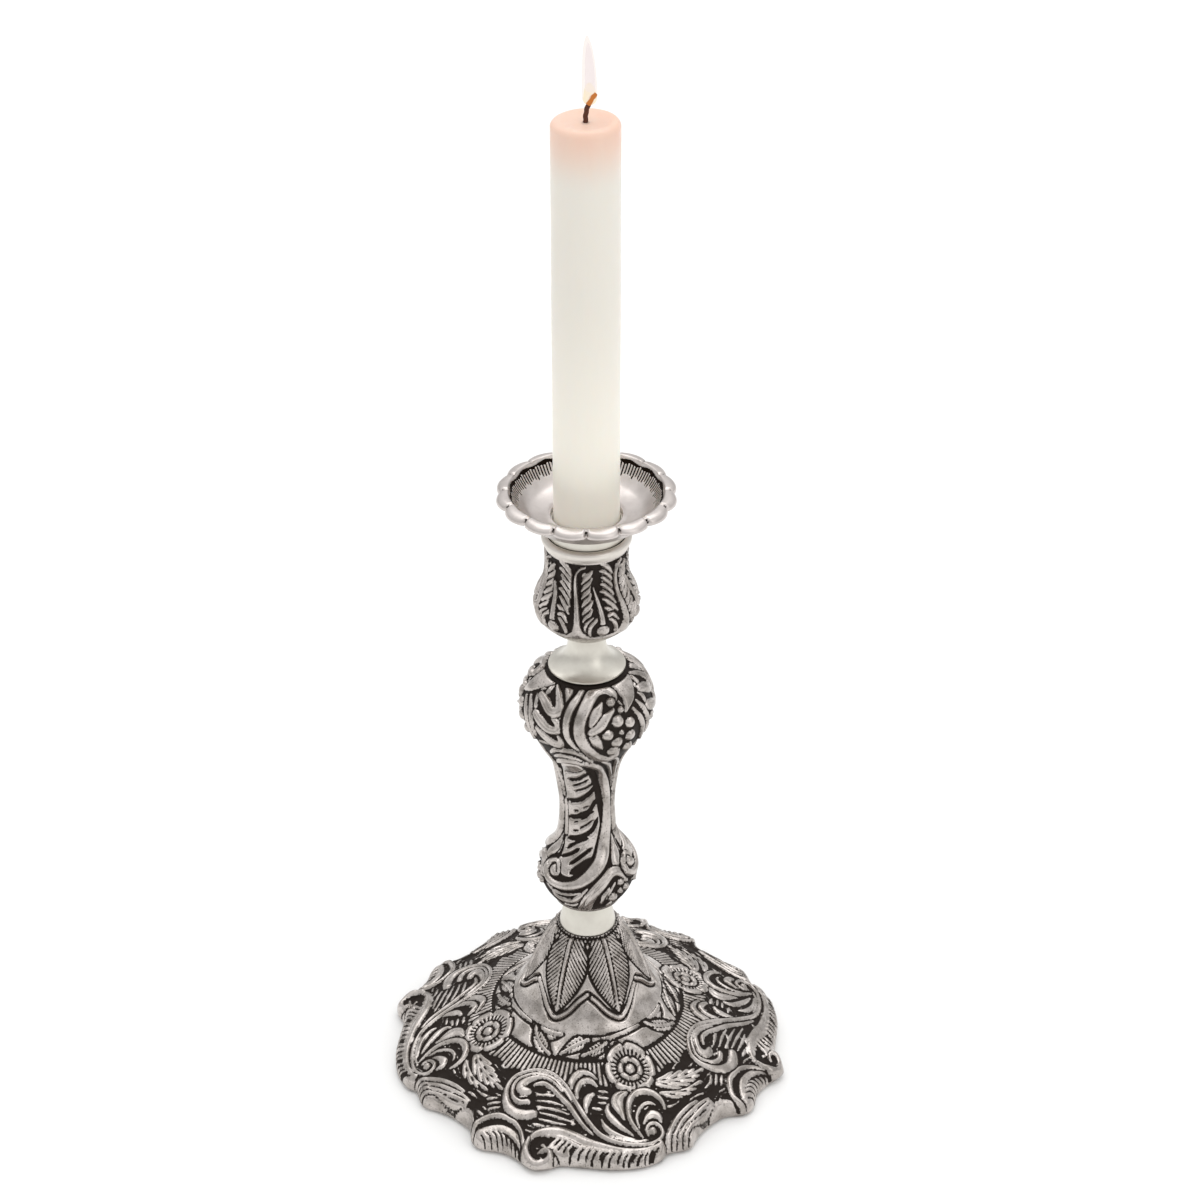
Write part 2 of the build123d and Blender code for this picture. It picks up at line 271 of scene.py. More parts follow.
class Profile:
    """A turned profile through (radius, height) points: distance along it and outward normal."""

    def __init__(self, points, steps=24):
        line = smooth(points, steps)
        self.r, self.z = line[:, 0], line[:, 1]
        self.s = np.concatenate([[0], np.cumsum(np.hypot(np.diff(self.r), np.diff(self.z)))])
        tangent_r, tangent_z = np.gradient(self.r, self.s), np.gradient(self.z, self.s)
        length = np.hypot(tangent_r, tangent_z)
        self.out_r, self.out_z = tangent_z / length, -tangent_r / length
        if self.z[-1] < self.z[0]:
            self.out_r, self.out_z = -self.out_r, -self.out_z

    def at(self, s):
        """Radius, height and outward normal at a distance along the profile."""
        return tuple(np.interp(s, self.s, a) for a in (self.r, self.z, self.out_r, self.out_z))

    def from_height(self, z):
        """Distance along the profile at a height. The profile rises or falls all the way."""
        rising = self.z[-1] > self.z[0]
        return np.interp(z, self.z if rising else self.z[::-1], self.s if rising else self.s[::-1])

    @property
    def length(self):
        return float(self.s[-1])


class TurnedRelief(Relief):
    """Relief on a turned profile, in degrees round it and mm along it, repeated evenly round the axis.

    Degrees count from the front to the right, and shapes are given as (degrees, height).
    """

    wrap = True

    def __init__(self, profile, repeats, step):
        self.profile, self.repeats, self.step, self.soft = profile, repeats, step, step * 1.6
        widest = float(profile.r.max())
        self.n = repeats * int(round(2 * math.pi * widest / step / repeats))
        self.m = int(profile.length / step) + 1
        self.height = np.zeros((self.m, self.n))
        self.degrees = np.arange(self.n) * 360 / self.n
        self.s = np.arange(self.m) * profile.length / (self.m - 1)
        self.row_step = profile.length / (self.m - 1)
        self.per_degree = np.radians(1) * profile.at(self.s)[0]

    def chart_points(self, points):
        """Places on the chart as degrees and distance along the profile."""
        points = np.array(points, float)
        return np.stack([points[:, 0], self.profile.from_height(points[:, 1])], axis=1)

    def window(self, line, reach):
        """The part of the chart within reach of a line, with its mm per chart unit."""
        low_row = max(0, int((line[:, 1].min() - reach) / self.row_step))
        high_row = min(self.m, int((line[:, 1].max() + reach) / self.row_step) + 2)
        rows = slice(low_row, high_row)
        degrees_reach = min(170.0, reach / self.per_degree[rows].min())
        low = int(math.floor((line[:, 0].min() - degrees_reach) * self.n / 360))
        high = int(math.ceil((line[:, 0].max() + degrees_reach) * self.n / 360)) + 1
        cols = np.arange(low, min(high, low + self.n))
        x, y = np.meshgrid(cols * 360 / self.n, self.s[rows])
        return rows, cols, x, y, self.per_degree[rows][:, None], 1.0

    def change(self, rows, cols, change):
        """Applies a change to a window of the height map and to its repeats."""
        for repeat in range(self.repeats):
            at = (cols + repeat * self.n // self.repeats) % self.n
            self.height[rows, at] = change(self.height[rows, at])

    def sampled(self, field, degrees, s):
        """A field of the chart read between its cells."""
        u = (degrees % 360) * self.n / 360
        v = np.clip(s / self.row_step, 0, self.m - 1.001)
        i, j = u.astype(int) % self.n, v.astype(int)
        fu, fv = u - np.floor(u), v - j
        k = (i + 1) % self.n
        top = field[j, i] * (1 - fu) + field[j, k] * fu
        bottom = field[j + 1, i] * (1 - fu) + field[j + 1, k] * fu
        return top * (1 - fv) + bottom * fv


# ---------------------------------------------------------------- meshes


def bridge(first, n_first, second, n_second):
    """Faces between two rings whose counts are the same, or one twice the other."""
    faces = []
    if n_first == n_second:
        for i in range(n_first):
            j = (i + 1) % n_first
            faces.append((first + i, first + j, second + j, second + i))
    elif n_second == 2 * n_first:
        for i in range(n_first):
            j = (i + 1) % n_first
            a, b, c = 2 * i, 2 * i + 1, (2 * i + 2) % n_second
            faces.append((first + i, second + b, second + a))
            faces.append((first + i, first + j, second + b))
            faces.append((first + j, second + c, second + b))
    elif n_first == 2 * n_second:
        for face in bridge(second, n_second, first, n_first):
            faces.append(face[::-1])
    else:
        raise ValueError("neighbouring rings have the same count, or one has twice the other's")
    return faces


def ring_mesh(name, rings, shade=None, joined=False):
    """A mesh of rings of points in mm, bridged in order. joined closes the last ring onto the first.

    shade has an array of tarnish values for each ring, or is None.
    """
    starts, total = [], 0
    for ring in rings:
        starts.append(total)
        total += len(ring)
    faces = []
    for i in range(len(rings) - 1):
        faces += bridge(starts[i], len(rings[i]), starts[i + 1], len(rings[i + 1]))
    if joined:
        faces += bridge(starts[-1], len(rings[-1]), starts[0], len(rings[0]))
    else:
        for start, ring, flip in ((starts[0], rings[0], True), (starts[-1], rings[-1], False)):
            loop = list(range(start, start + len(ring)))
            faces.append(tuple(loop[::-1] if flip else loop))
    mesh = bpy.data.meshes.new(name)
    mesh.from_pydata((np.vstack(rings) * MM).tolist(), [], faces)
    turned_out = bmesh.new()
    turned_out.from_mesh(mesh)
    bmesh.ops.recalc_face_normals(turned_out, faces=turned_out.faces)
    turned_out.to_mesh(mesh)
    turned_out.free()
    if shade is not None:
        attribute = mesh.attributes.new("tarnish", "FLOAT", "POINT")
        attribute.data.foreach_set("value", np.concatenate(shade).astype(np.float32))
    mesh.polygons.foreach_set("use_smooth", [True] * len(mesh.polygons))
    mesh.validate()
    piece = bpy.data.objects.new(name, mesh)
    bpy.context.scene.collection.objects.link(piece)
    return piece


def circle(radius, height, count, degrees=None):
    """A ring of points at a radius and height, either of which may vary round it."""
    if degrees is None:
        degrees = np.arange(count) * 360 / count
    angles = np.radians(degrees - 90)
    radius = np.broadcast_to(radius, angles.shape)
    height = np.broadcast_to(height, angles.shape)
    return np.stack([radius * np.cos(angles), radius * np.sin(angles), height], axis=1)


# ---------------------------------------------------------------- the foot

FOOT_FIRST_KNOB = 255.5
FOOT_OUTLINE = [
    (0, 72.0),
    (4, 70.0),
    (7, 68.0),
    (14, 68.4),
    (22, 70.0),
    (30, 70.8),
    (36, 69.8),
    (39.5, 67.4),
    (46, 68.6),
    (50, 66.0),
    (54.5, 64.0),
    (60, 63.4),
    (64.5, 64.4),
    (68.5, 68.6),
    (72, 69.6),
    (78, 67.6),
    (83, 68.6),
    (87, 71.0),
]
FOOT_PROFILE = [
    (10.6, 57.0),
    (13.9, 53.0),
    (18.9, 42.0),
    (22.9, 31.0),
    (27.5, 25.6),
    (33.7, 21.4),
    (40.0, 18.4),
    (52.0, 13.6),
    (63.5, 8.5),
    (76.0, 2.6),
]
DOME_EDGE = 33.9  # radius where the smooth dome meets the hatched ground
CHART_SEAM = 26.5  # radius where the cone's chart hands over to the plan


def outline_radius(angle):
    """Radius of the foot's outline at an angle in degrees round from +X."""
    offsets = np.array([o for o, _ in FOOT_OUTLINE], float)
    radii = np.array([r for _, r in FOOT_OUTLINE], float)
    around = np.concatenate([offsets - 90, offsets, offsets + 90])
    line = smooth(np.stack([around, np.tile(radii, 3)], axis=1))
    return np.interp((angle - FOOT_FIRST_KNOB) % 90, line[:, 0], line[:, 1])


def flower(relief, centre):
    """A flower: a boss, a notched inner ring, a ring of ticks and six broad outer petals."""
    boss_radius, hollow, inner, ticks_start, ticks_end, outer = 1.7, 2.6, 4.3, 5.0, 6.7, 8.9
    rows, cols, away, angle = relief.around(centre, outer + 1.5)

    def spokes(count, shift=0.0):
        """1 on each of count spokes, 0 midway between them."""
        return np.abs(((angle * count / 360 + shift) % 1) - 0.5) * 2

    petal_gap = ease(0.9, 0.96, spokes(6, 0.2))
    edge = outer - 0.9 * ease(0.7, 1.0, spokes(6, 0.2))
    boss = 1.5 * np.sqrt(np.clip(1 - 0.5 * (away / boss_radius) ** 2, 0, 1))
    notched = 1.25 - 1.1 * ease(0.78, 0.92, spokes(6, 0.5))
    ticks = 1.2 - 1.15 * ease(0.35, 0.55, spokes(26))
    petals = 1.35 - 0.3 * ((away - 7.9) / 1.2) ** 2 - petal_gap
    shape = np.select(
        [away < boss_radius, away < hollow, away < inner, away < ticks_start, away < ticks_end],
        [boss, 0 * away, notched, 0 * away, ticks],
        petals,
    )
    cover = np.clip((edge - away) / relief.soft + 0.5, 0, 1)
    moat_cover = np.clip((edge + 0.8 - away) / relief.soft + 0.5, 0, 1)
    relief.lay(rows, cols, cover, shape, moat_cover, 0.0)


def paint_ground(relief):
    """The plain dome, the groove at its edge, the hatched ground and the metal along the rim."""
    radius = np.hypot(relief.x, relief.y)
    angle = np.degrees(np.arctan2(relief.y, relief.x))
    lines = 36
    across = np.abs(((angle * lines / 90) % 1) - 0.5) * 2
    uneven = 0.8 * np.sin(np.radians(angle * 28))
    hatch = 0.95 * ease(0.78, 0.5, across) * ease(43.2, 42.2, radius + uneven)
    wander = 0.5 * np.sin(relief.x * 0.45 + relief.y * 0.2)
    wander = wander + 0.35 * np.sin(relief.y * 0.9 - relief.x * 0.3)
    rows = (radius + wander) / 1.75
    strokes = np.abs(rows % 1 - 0.5) * 2
    broken = ease(-0.1, 0.5, np.sin(np.radians(angle * 20) + 1.7 * np.floor(rows + 0.5)))
    field = 0.8 * ease(0.7, 0.3, strokes) * broken
    relief.height[:] = np.where(radius > 43.4, field, np.where(radius > DOME_EDGE + 0.7, hatch, 0.0))
    relief.height[:] = np.where(radius < DOME_EDGE - 0.5, TOP_LEVEL, relief.height)
    rim_width = 1.7
    on_rim = ease(rim_width + 0.3, rim_width - 0.3, outline_radius(angle) - radius)
    relief.height[:] = np.maximum(relief.height, 1.05 * on_rim)


def paint_twigs(relief):
    """A few leaves on thin stems, outlined on the plain dome."""
    relief.moat = 0.65
    relief.band(
        [(-3.0, -24.6), (0.2, -27.2), (5.2, -27.4), (11, -25.0), (16, -21.8), (20.0, -18.3)],
        [0.8, 1.2, 1.4, 1.2, 1.0, 0.6], top=1.3,
    )
    for midrib, width, veins, depth in (
        ([(0.4, -27.6), (-4.0, -28.9), (-10.2, -31.4)], 4.2, (1.3, -1.0), 0.9),
        ([(6.8, -28.0), (2.8, -30.6), (-2.6, -32.6)], 3.6, (1.3, -1.0), 0.9),
        ([(19.4, -18.8), (22.2, -15.8), (24.4, -12.2), (25.6, -8.4)], 5.2, (1.2, -1.0), 0.7),
        ([(-13.4, -30.6), (-16.0, -27.4), (-17.8, -23.4), (-18.4, -19.6)], 4.4, (1.4, -1.2), 0.9),
    ):
        relief.leaf(midrib, width, veins=veins, depth=depth)
    relief.moat = Relief.moat


def paint_small_hatching(relief):
    """Short ridges that fill the ground between the scrolls."""
    strokes = [
        [(-18, -45), (-12.8, -45.6), (-9.5, -46.7)],
        [(-18, -47), (-12.2, -48.3), (-7.3, -50.3)],
        [(-18, -49.2), (-12.2, -50.8), (-6.2, -53)],
        [(-17.2, -51.4), (-10.6, -53.6), (-4.5, -56)],
        [(-17.2, -53.6), (-11.7, -55.5), (-7.3, -56.6)],
        [(-19.4, -55.2), (-15, -56.3)],
        [(-35.6, -43.4), (-31.5, -43.7)],
        [(-35.3, -45.3), (-30.4, -45.6)],
        [(-34.8, -47.2), (-30.3, -47.5)],
        [(-34.5, -48.8), (-30.1, -49.1)],
        [(3.7, -44.5), (7.3, -45)],
        [(3.7, -46.9), (7.6, -47.2)],
        [(3.5, -48.9), (7.0, -48.9)],
        [(1.5, -50.8), (4.8, -51.1)],
    ]
    for stroke in strokes:
        relief.band(stroke, [0.5, 1.0, 0.5], top=0.95, moat=0.2)


def paint_rim(relief):
    """The ribbon lobe, the crescent leaf, and the feathered lobe with the volute at its end."""
    spine = smooth(
        [(32.9, -63.4), (32.6, -57.5), (34.6, -52.4), (38.6, -47.6), (42.4, -43.6), (45.4, -40.0)]
    )
    ahead = np.gradient(spine, axis=0)
    ahead /= np.hypot(ahead[:, 0], ahead[:, 1])[:, None]
    left = np.stack([-ahead[:, 1], ahead[:, 0]], axis=1)
    t = np.linspace(0, 1, len(spine))[:, None]
    for k, reach in zip(range(-2, 3), (0.86, 0.97, 1.0, 0.9, 0.78)):
        wave = 0.35 * np.sin(9 * t + 0.8 * k)
        strand = (spine + left * (k * (2.15 - 1.25 * t**1.3) + wave))[: int(reach * len(spine))]
        relief.band(strand[::7], [1.5, 1.6, 1.7, 1.6, 1.5, 1.3, 0.7], top=1.3, moat=0.35)

    relief.band(
        [(-40.8, -60.0), (-36.0, -58.7), (-31.4, -59.3), (-27.2, -62.0), (-24.4, -66.4),
         (-22.9, -70.6)],
        [4.6, 8.0, 9.0, 8.0, 5.6, 3.4], top=1.0, round_off=0.1,
    )
    for start in (-37.4, -35.2, -33.2, -31.4, -29.8, -28.3, -26.9, -25.6):
        depth = -55.6 - 0.1 * (start + 33) ** 2 * (1 if start > -33 else 0.4)
        relief.cut([(start, depth), (start + 1.4, depth - 2.2), (start + 2.0, depth - 5.2)], 0.75, 0.9)
    relief.band(
        [(-40.4, -55.4), (-38.8, -52.0), (-35.2, -50.5), (-31, -50.5), (-27.4, -52.4), (-24.8, -54.6),
         (-23.1, -57.6), (-22.3, -61.0), (-22.4, -64.6)],
        [1.2, 1.7, 1.7, 1.6, 1.5, 1.4, 1.3, 1.2, 0.8], top=1.5,
    )

    relief.band(
        [(-15.6, -61.4), (-9.5, -63.6), (-4, -65.5), (2.6, -67.4), (9.2, -68.6), (15.8, -68.4),
         (21.3, -66.8), (25.8, -63.6)],
        [3.0, 5.8, 6.8, 6.6, 6.4, 6.4, 5.8, 3.8], top=1.15, round_off=0.15,
    )
    relief.band(
        [(-20.4, -60.9), (-17.6, -58.9), (-13.6, -58.4), (-9.0, -58.9), (-5, -60.4), (-0.4, -62.6),
         (5.0, -64.0), (10.4, -65.0), (16.0, -65.0), (21.4, -63.8), (25.8, -61.2)],
        [1.2, 2.0, 2.4, 2.6, 2.8, 2.2, 1.6, 1.4, 1.3, 1.3, 1.0], top=1.5, moat=0.0,
    )
    feather = smooth(
        [(-12.0, -60.4), (-7.3, -62.2), (-3.0, -64.6), (3.0, -65.6), (9.0, -66.4), (15.0, -66.5),
         (20.0, -65.7), (25.0, -63.3)]
    )
    barbs = 21
    for i in range(barbs):
        x, y = feather[int(i * (len(feather) - 1) / (barbs - 1))]
        lean = math.radians(224 + 20 * i / barbs + 5 * math.sin(5.0 * i))
        length = 4.0 + 0.9 * math.sin(2.3 * i)
        middle = (x + 0.5 * length * math.cos(lean - 0.12), y + 0.5 * length * math.sin(lean - 0.12))
        end = (x + length * math.cos(lean), y + length * math.sin(lean))
        relief.cut([(x, y), middle, end], 1.0 + 0.3 * math.sin(3.1 * i), 1.2)
    relief.band(
        [(-14.6, -61.2), (-17.8, -62.0), (-19.0, -64.4), (-17.8, -66.6), (-15.4, -67.0)],
        [1.6, 2.4, 1.5, 1.0, 0.5], top=0.0, round_off=0.0, moat=0.0,
    )
    relief.band(
        [(-20.2, -60.6), (-21.1, -63.2), (-21.5, -66.2), (-20.3, -69.0), (-17.4, -70.4), (-14.4, -69.6),
         (-12.9, -67.6), (-13.4, -65.9), (-15.2, -65.2), (-16.8, -65.8)],
        [1.4, 2.0, 2.8, 3.4, 3.4, 3.3, 2.8, 1.9, 1.3, 0.6], top=2.3, moat=0.15, round_off=0.75,
    )


def paint_flower_leaves(relief):
    """The pair of long leaves that run on from each flower."""
    for midrib, width in (
        ([(25.0, -43.4), (30.0, -41.9), (35.2, -39.0), (40.6, -34.8)], 5.6),
        ([(22.6, -39.8), (28.4, -38.2), (34.8, -34.8), (41.4, -29.4)], 7.0),
    ):
        relief.leaf(midrib, width, veins=(4.6, -2.6), depth=0.8)


def paint_scroll(relief):
    """The long S-scroll, with a fan of lobes at its volute and a small curled leaf on its back."""
    relief.band(
        [(3.5, -40.5), (1.0, -38.7), (-1.7, -38.0), (-4.0, -39.0), (-5.5, -41.3), (-6.0, -44.0),
         (-5.4, -47.0), (-4.4, -49.6)],
        [0.4, 1.2, 2.0, 2.5, 2.3, 1.5, 0.8, 0.4], top=1.4,
    )
    relief.band(
        [(2.0, -45.8), (0.4, -47.0), (-0.4, -49.7), (-0.6, -52.7), (0.4, -56.2)],
        [1.2, 2.6, 1.6, 1.2, 0.5], top=1.25,
    )
    relief.band(
        [(3.3, -43.0), (1.6, -41.4), (-0.3, -40.8), (-2.4, -41.8), (-3.6, -44.0), (-3.9, -46.8),
         (-3.3, -49.6), (-1.9, -53.0)],
        [0.8, 1.8, 1.9, 1.7, 1.5, 1.3, 1.0, 0.4], top=1.4, moat=0.35,
    )

    relief.band(
        [(17.3, -61.1), (12.7, -60.8), (8.7, -59.3), (6.0, -57.0), (4.9, -54.6)],
        [0.5, 1.2, 1.7, 1.8, 0.4], top=1.25,
    )
    relief.band(
        [(16.0, -59.7), (12.4, -57.6), (9.6, -55.3), (7.5, -53.0), (6.9, -50.7), (7.6, -49.0)],
        [0.4, 1.4, 1.9, 2.2, 1.6, 0.4], top=1.3,
    )
    relief.band(
        [(13.0, -54.8), (11.3, -51.0), (10.3, -48.3), (11.0, -46.3), (13.5, -44.6)],
        [0.4, 2.0, 3.6, 3.4, 1.2], top=1.25, creases=(0.3,), crease=0.22,
    )
    relief.band(
        [(19.6, -55.4), (20.7, -53.0), (22.7, -51.4), (24.9, -52.0), (25.7, -54.0)],
        [0.4, 1.3, 2.6, 2.3, 0.5], top=1.3,
    )
    relief.band(
        [(18.4, -57.6), (17.2, -53.6), (18.1, -50.2), (19.7, -48.2), (21.9, -47.4), (23.9, -48.0)],
        [0.4, 0.8, 1.0, 1.1, 1.0, 0.4], top=1.2,
    )
    relief.band(
        [(19.4, -60.2), (16.4, -56.7), (14.9, -54.0), (14.3, -50.7), (14.8, -47.3), (16.4, -44.9),
         (18.9, -43.6), (22.0, -43.5), (24.8, -44.8), (26.5, -46.8), (27.0, -49.0)],
        [0.5, 1.1, 1.4, 1.5, 1.7, 1.9, 2.1, 2.1, 1.9, 1.4, 0.5], top=1.45,
    )

    relief.band(
        [(-18.6, -41.2), (-15.4, -41.0), (-12.4, -43.0), (-9.6, -46.2), (-6.4, -49.8), (-3.8, -53.6),
         (-1.2, -57.2), (2.0, -60.2)],
        [0.9, 1.4, 1.5, 1.6, 1.6, 1.4, 1.1, 0.5], top=1.35, moat=0.35,
    )
    relief.band(
        [(-20.6, -43.4), (-22.6, -42.6), (-23.2, -40.8), (-21.6, -38.8), (-18.4, -38.2), (-14.8, -38.8),
         (-11.2, -41.6), (-8.6, -44.8)],
        [2.0, 3.2, 3.4, 2.6, 1.2, 0.9, 0.9, 0.5], top=1.5, moat=0.3,
    )
    relief.band(
        [(-20.8, -47.2), (-23.6, -46.9), (-25.8, -44.8), (-26.3, -41.6), (-25.0, -38.8), (-21.8, -37.4),
         (-18, -37.0), (-14, -38.0), (-10.6, -40.4), (-7.4, -44.6), (-5.0, -48.4), (-1.9, -53.4),
         (2.0, -58.0), (8, -60.9), (15.5, -61.9), (21, -60.8)],
        [1.7, 1.5, 1.2, 1.1, 1.0, 0.9, 0.9, 1.0, 1.0, 1.0, 1.1, 1.0, 0.9, 0.8, 0.7, 0.5],
        top=1.45, moat=0.3,
    )
    relief.band(
        [(-18.9, -51.8), (-22, -51.8), (-25.3, -50.6), (-27.6, -48.0), (-28.6, -44.4), (-28.0, -40.2),
         (-25.4, -37.0), (-21, -35.8), (-16.6, -36.0), (-12.0, -37.9), (-8.4, -41.4), (-5.8, -45.4),
         (-3.0, -50.4), (0.2, -55.4), (4.6, -60.2), (10.5, -62.6), (17.0, -63.0), (22.4, -61.9),
         (25.6, -59.4), (26.1, -56.6), (24.2, -54.8), (21.8, -55.1), (20.6, -57.0), (21.2, -59.0)],
        [2.6, 3.2, 3.0, 2.3, 1.6, 1.3, 1.1, 1.0, 0.9, 0.9, 1.0, 1.1, 1.3, 1.4, 1.4, 1.2, 1.1, 1.1, 1.1,
         1.1, 1.1, 1.0, 0.9, 0.8],
        top=1.55, moat=0.35,
    )
    relief.boss((22.8, -57.4), 1.35, top=1.7, moat=0.35)


def paint_cone(relief):
    """Six pointed leaves down the cone, with a border that follows their tips."""
    relief.height[:] = TOP_LEVEL
    relief.repeats = 6
    half_edge = [(0, 38.6), (9, 36.0), (18, 32.2), (25, 30.1)]
    edge = half_edge + [(30, 29.4)] + [(60 - degrees, z) for degrees, z in reversed(half_edge)]
    relief.band(edge, [1.5], top=1.35, moat=0.75, round_off=0.3)
    relief.moat = 0.8
    relief.leaf(
        [(30, 57.4), (30, 50), (30, 42), (30, 37), (30, 31.0)], 16.6,
        top=1.35, veins=(1.75, -1.25), rib=0.7, heel=0.72, depth=1.35,
    )
    relief.band([(30, 57.4), (30, 46), (30, 37), (30, 32.0)], [1.7, 1.5, 1.2, 0.5], top=1.5, moat=0.3)
    relief.moat = Relief.moat
    seam = [(degrees, 56.5) for degrees in range(0, 61, 15)]
    relief.cut(seam, 1.0, 1.1)


def foot():
    """The whole foot casting: relief above, and the plain hollow below as the CAD has it."""
    step = 0.2
    plan = PlanRelief(78, step)
    paint_ground(plan)
    paint_twigs(plan)
    plan.swell = 1.22
    paint_small_hatching(plan)
    paint_rim(plan)
    paint_flower_leaves(plan)
    flower(plan, (15.0, -35.6))
    paint_scroll(plan)
    plan_height, plan_tarnish = plan.finished()

    whole = Profile(FOOT_PROFILE)
    seam_s = float(np.interp(CHART_SEAM, whole.r, whole.s))
    cone_length = seam_s + 3
    cone_profile = Profile(FOOT_PROFILE)
    keep = cone_profile.s <= cone_length
    for field in ("r", "z", "s", "out_r", "out_z"):
        setattr(cone_profile, field, getattr(cone_profile, field)[keep])
    cone = TurnedRelief(cone_profile, 12, step)
    paint_cone(cone)
    cone_height, cone_tarnish = cone.finished()

    rings, shade = [], []
    grain = 0.4
    for s in np.arange(0, seam_s, grain):
        r, z, out_r, out_z = whole.at(s)
        count = 240 if r < 15.5 else 480
        degrees = np.arange(count) * 360 / count
        h = cone.sampled(cone_height, degrees, np.full(count, s)) - TOP_LEVEL
        h = h * float(ease(0, 1.0, s))
        rings.append(circle(r + out_r * h, z + out_z * h, count, degrees))
        shade.append(cone.sampled(cone_tarnish, degrees, np.full(count, s)))

    count = 960
    degrees = np.arange(count) * 360 / count
    edge_radius = outline_radius(degrees - 90)
    shoulder, roll, tuck = 4.0, 2.4, 2.2
    for share in np.linspace(0, 1, int((70 - CHART_SEAM - shoulder) / grain) + 1):
        r = CHART_SEAM + share * (edge_radius - shoulder - CHART_SEAM)
        at = circle(r, 0, count, degrees)
        h = plan.sampled(plan_height, at[:, 0], at[:, 1]) - TOP_LEVEL
        z = np.interp(r, whole.r, whole.z)
        rings.append(circle(r, z + h, count, degrees))
        shade.append(plan.sampled(plan_tarnish, at[:, 0], at[:, 1]))
    crown = np.interp(edge_radius - shoulder, whole.r, whole.z)
    for turn in np.radians(np.linspace(90, 0, 11))[1:]:
        r = edge_radius - shoulder * (1 - math.cos(turn))
        at = circle(r, 0, count, degrees)
        h = plan.sampled(plan_height, at[:, 0], at[:, 1]) - TOP_LEVEL
        rise = roll + (crown - roll + h) * math.sin(turn)
        rings.append(circle(r + 0.6 * h * math.cos(turn), rise, count, degrees))
        shade.append(plan.sampled(plan_tarnish, at[:, 0], at[:, 1]))
    for turn in np.radians(np.linspace(0, -90, 6))[1:]:
        r = edge_radius - tuck * (1 - math.cos(turn))
        rings.append(circle(r, roll + roll * math.sin(turn), count, degrees))
        shade.append(np.full(count, 0.2))

    recess, ledge = 58.25, 56.0
    below = [
        (480, recess, 0.0),
        (240, recess, 3.5),
        (120, ledge, 3.5),
        (120, 52.0, 8.0),
        (120, 38.5, 15.2),
        (120, 26.0, 21.8),
        (120, 20.0, 28.0),
        (120, 15.2, 41.0),
        (120, 10.0, 53.0),
        (120, ROD_HOLE, 53.0),
        (120, ROD_HOLE, 58.8),
        (120, 6.0, 58.8),
        (120, 6.0, 57.0),
        (120, 10.3, 57.0),
    ]
    for n, r, z in below:
        rings.append(circle(r, z, n))
        shade.append(np.full(n, 0.6))
    return ring_mesh("foot_relief", rings, shade, joined=True)


# ---------------------------------------------------------------- the stem

STEM_PROFILE = [
    (8.2, 67.5),
    (11.8, 69.3),
    (14.8, 71.9),
    (17.2, 77.0),
    (17.2, 83.5),
    (13.8, 90.0),
    (10.5, 96.0),
    (9.6, 105.0),
    (9.8, 114.0),
    (11.8, 126.0),
    (15.6, 132.6),
    (20.4, 140.0),
    (23.1, 149.0),
    (21.6, 156.5),
    (18.6, 161.0),
    (13.1, 164.6),
]


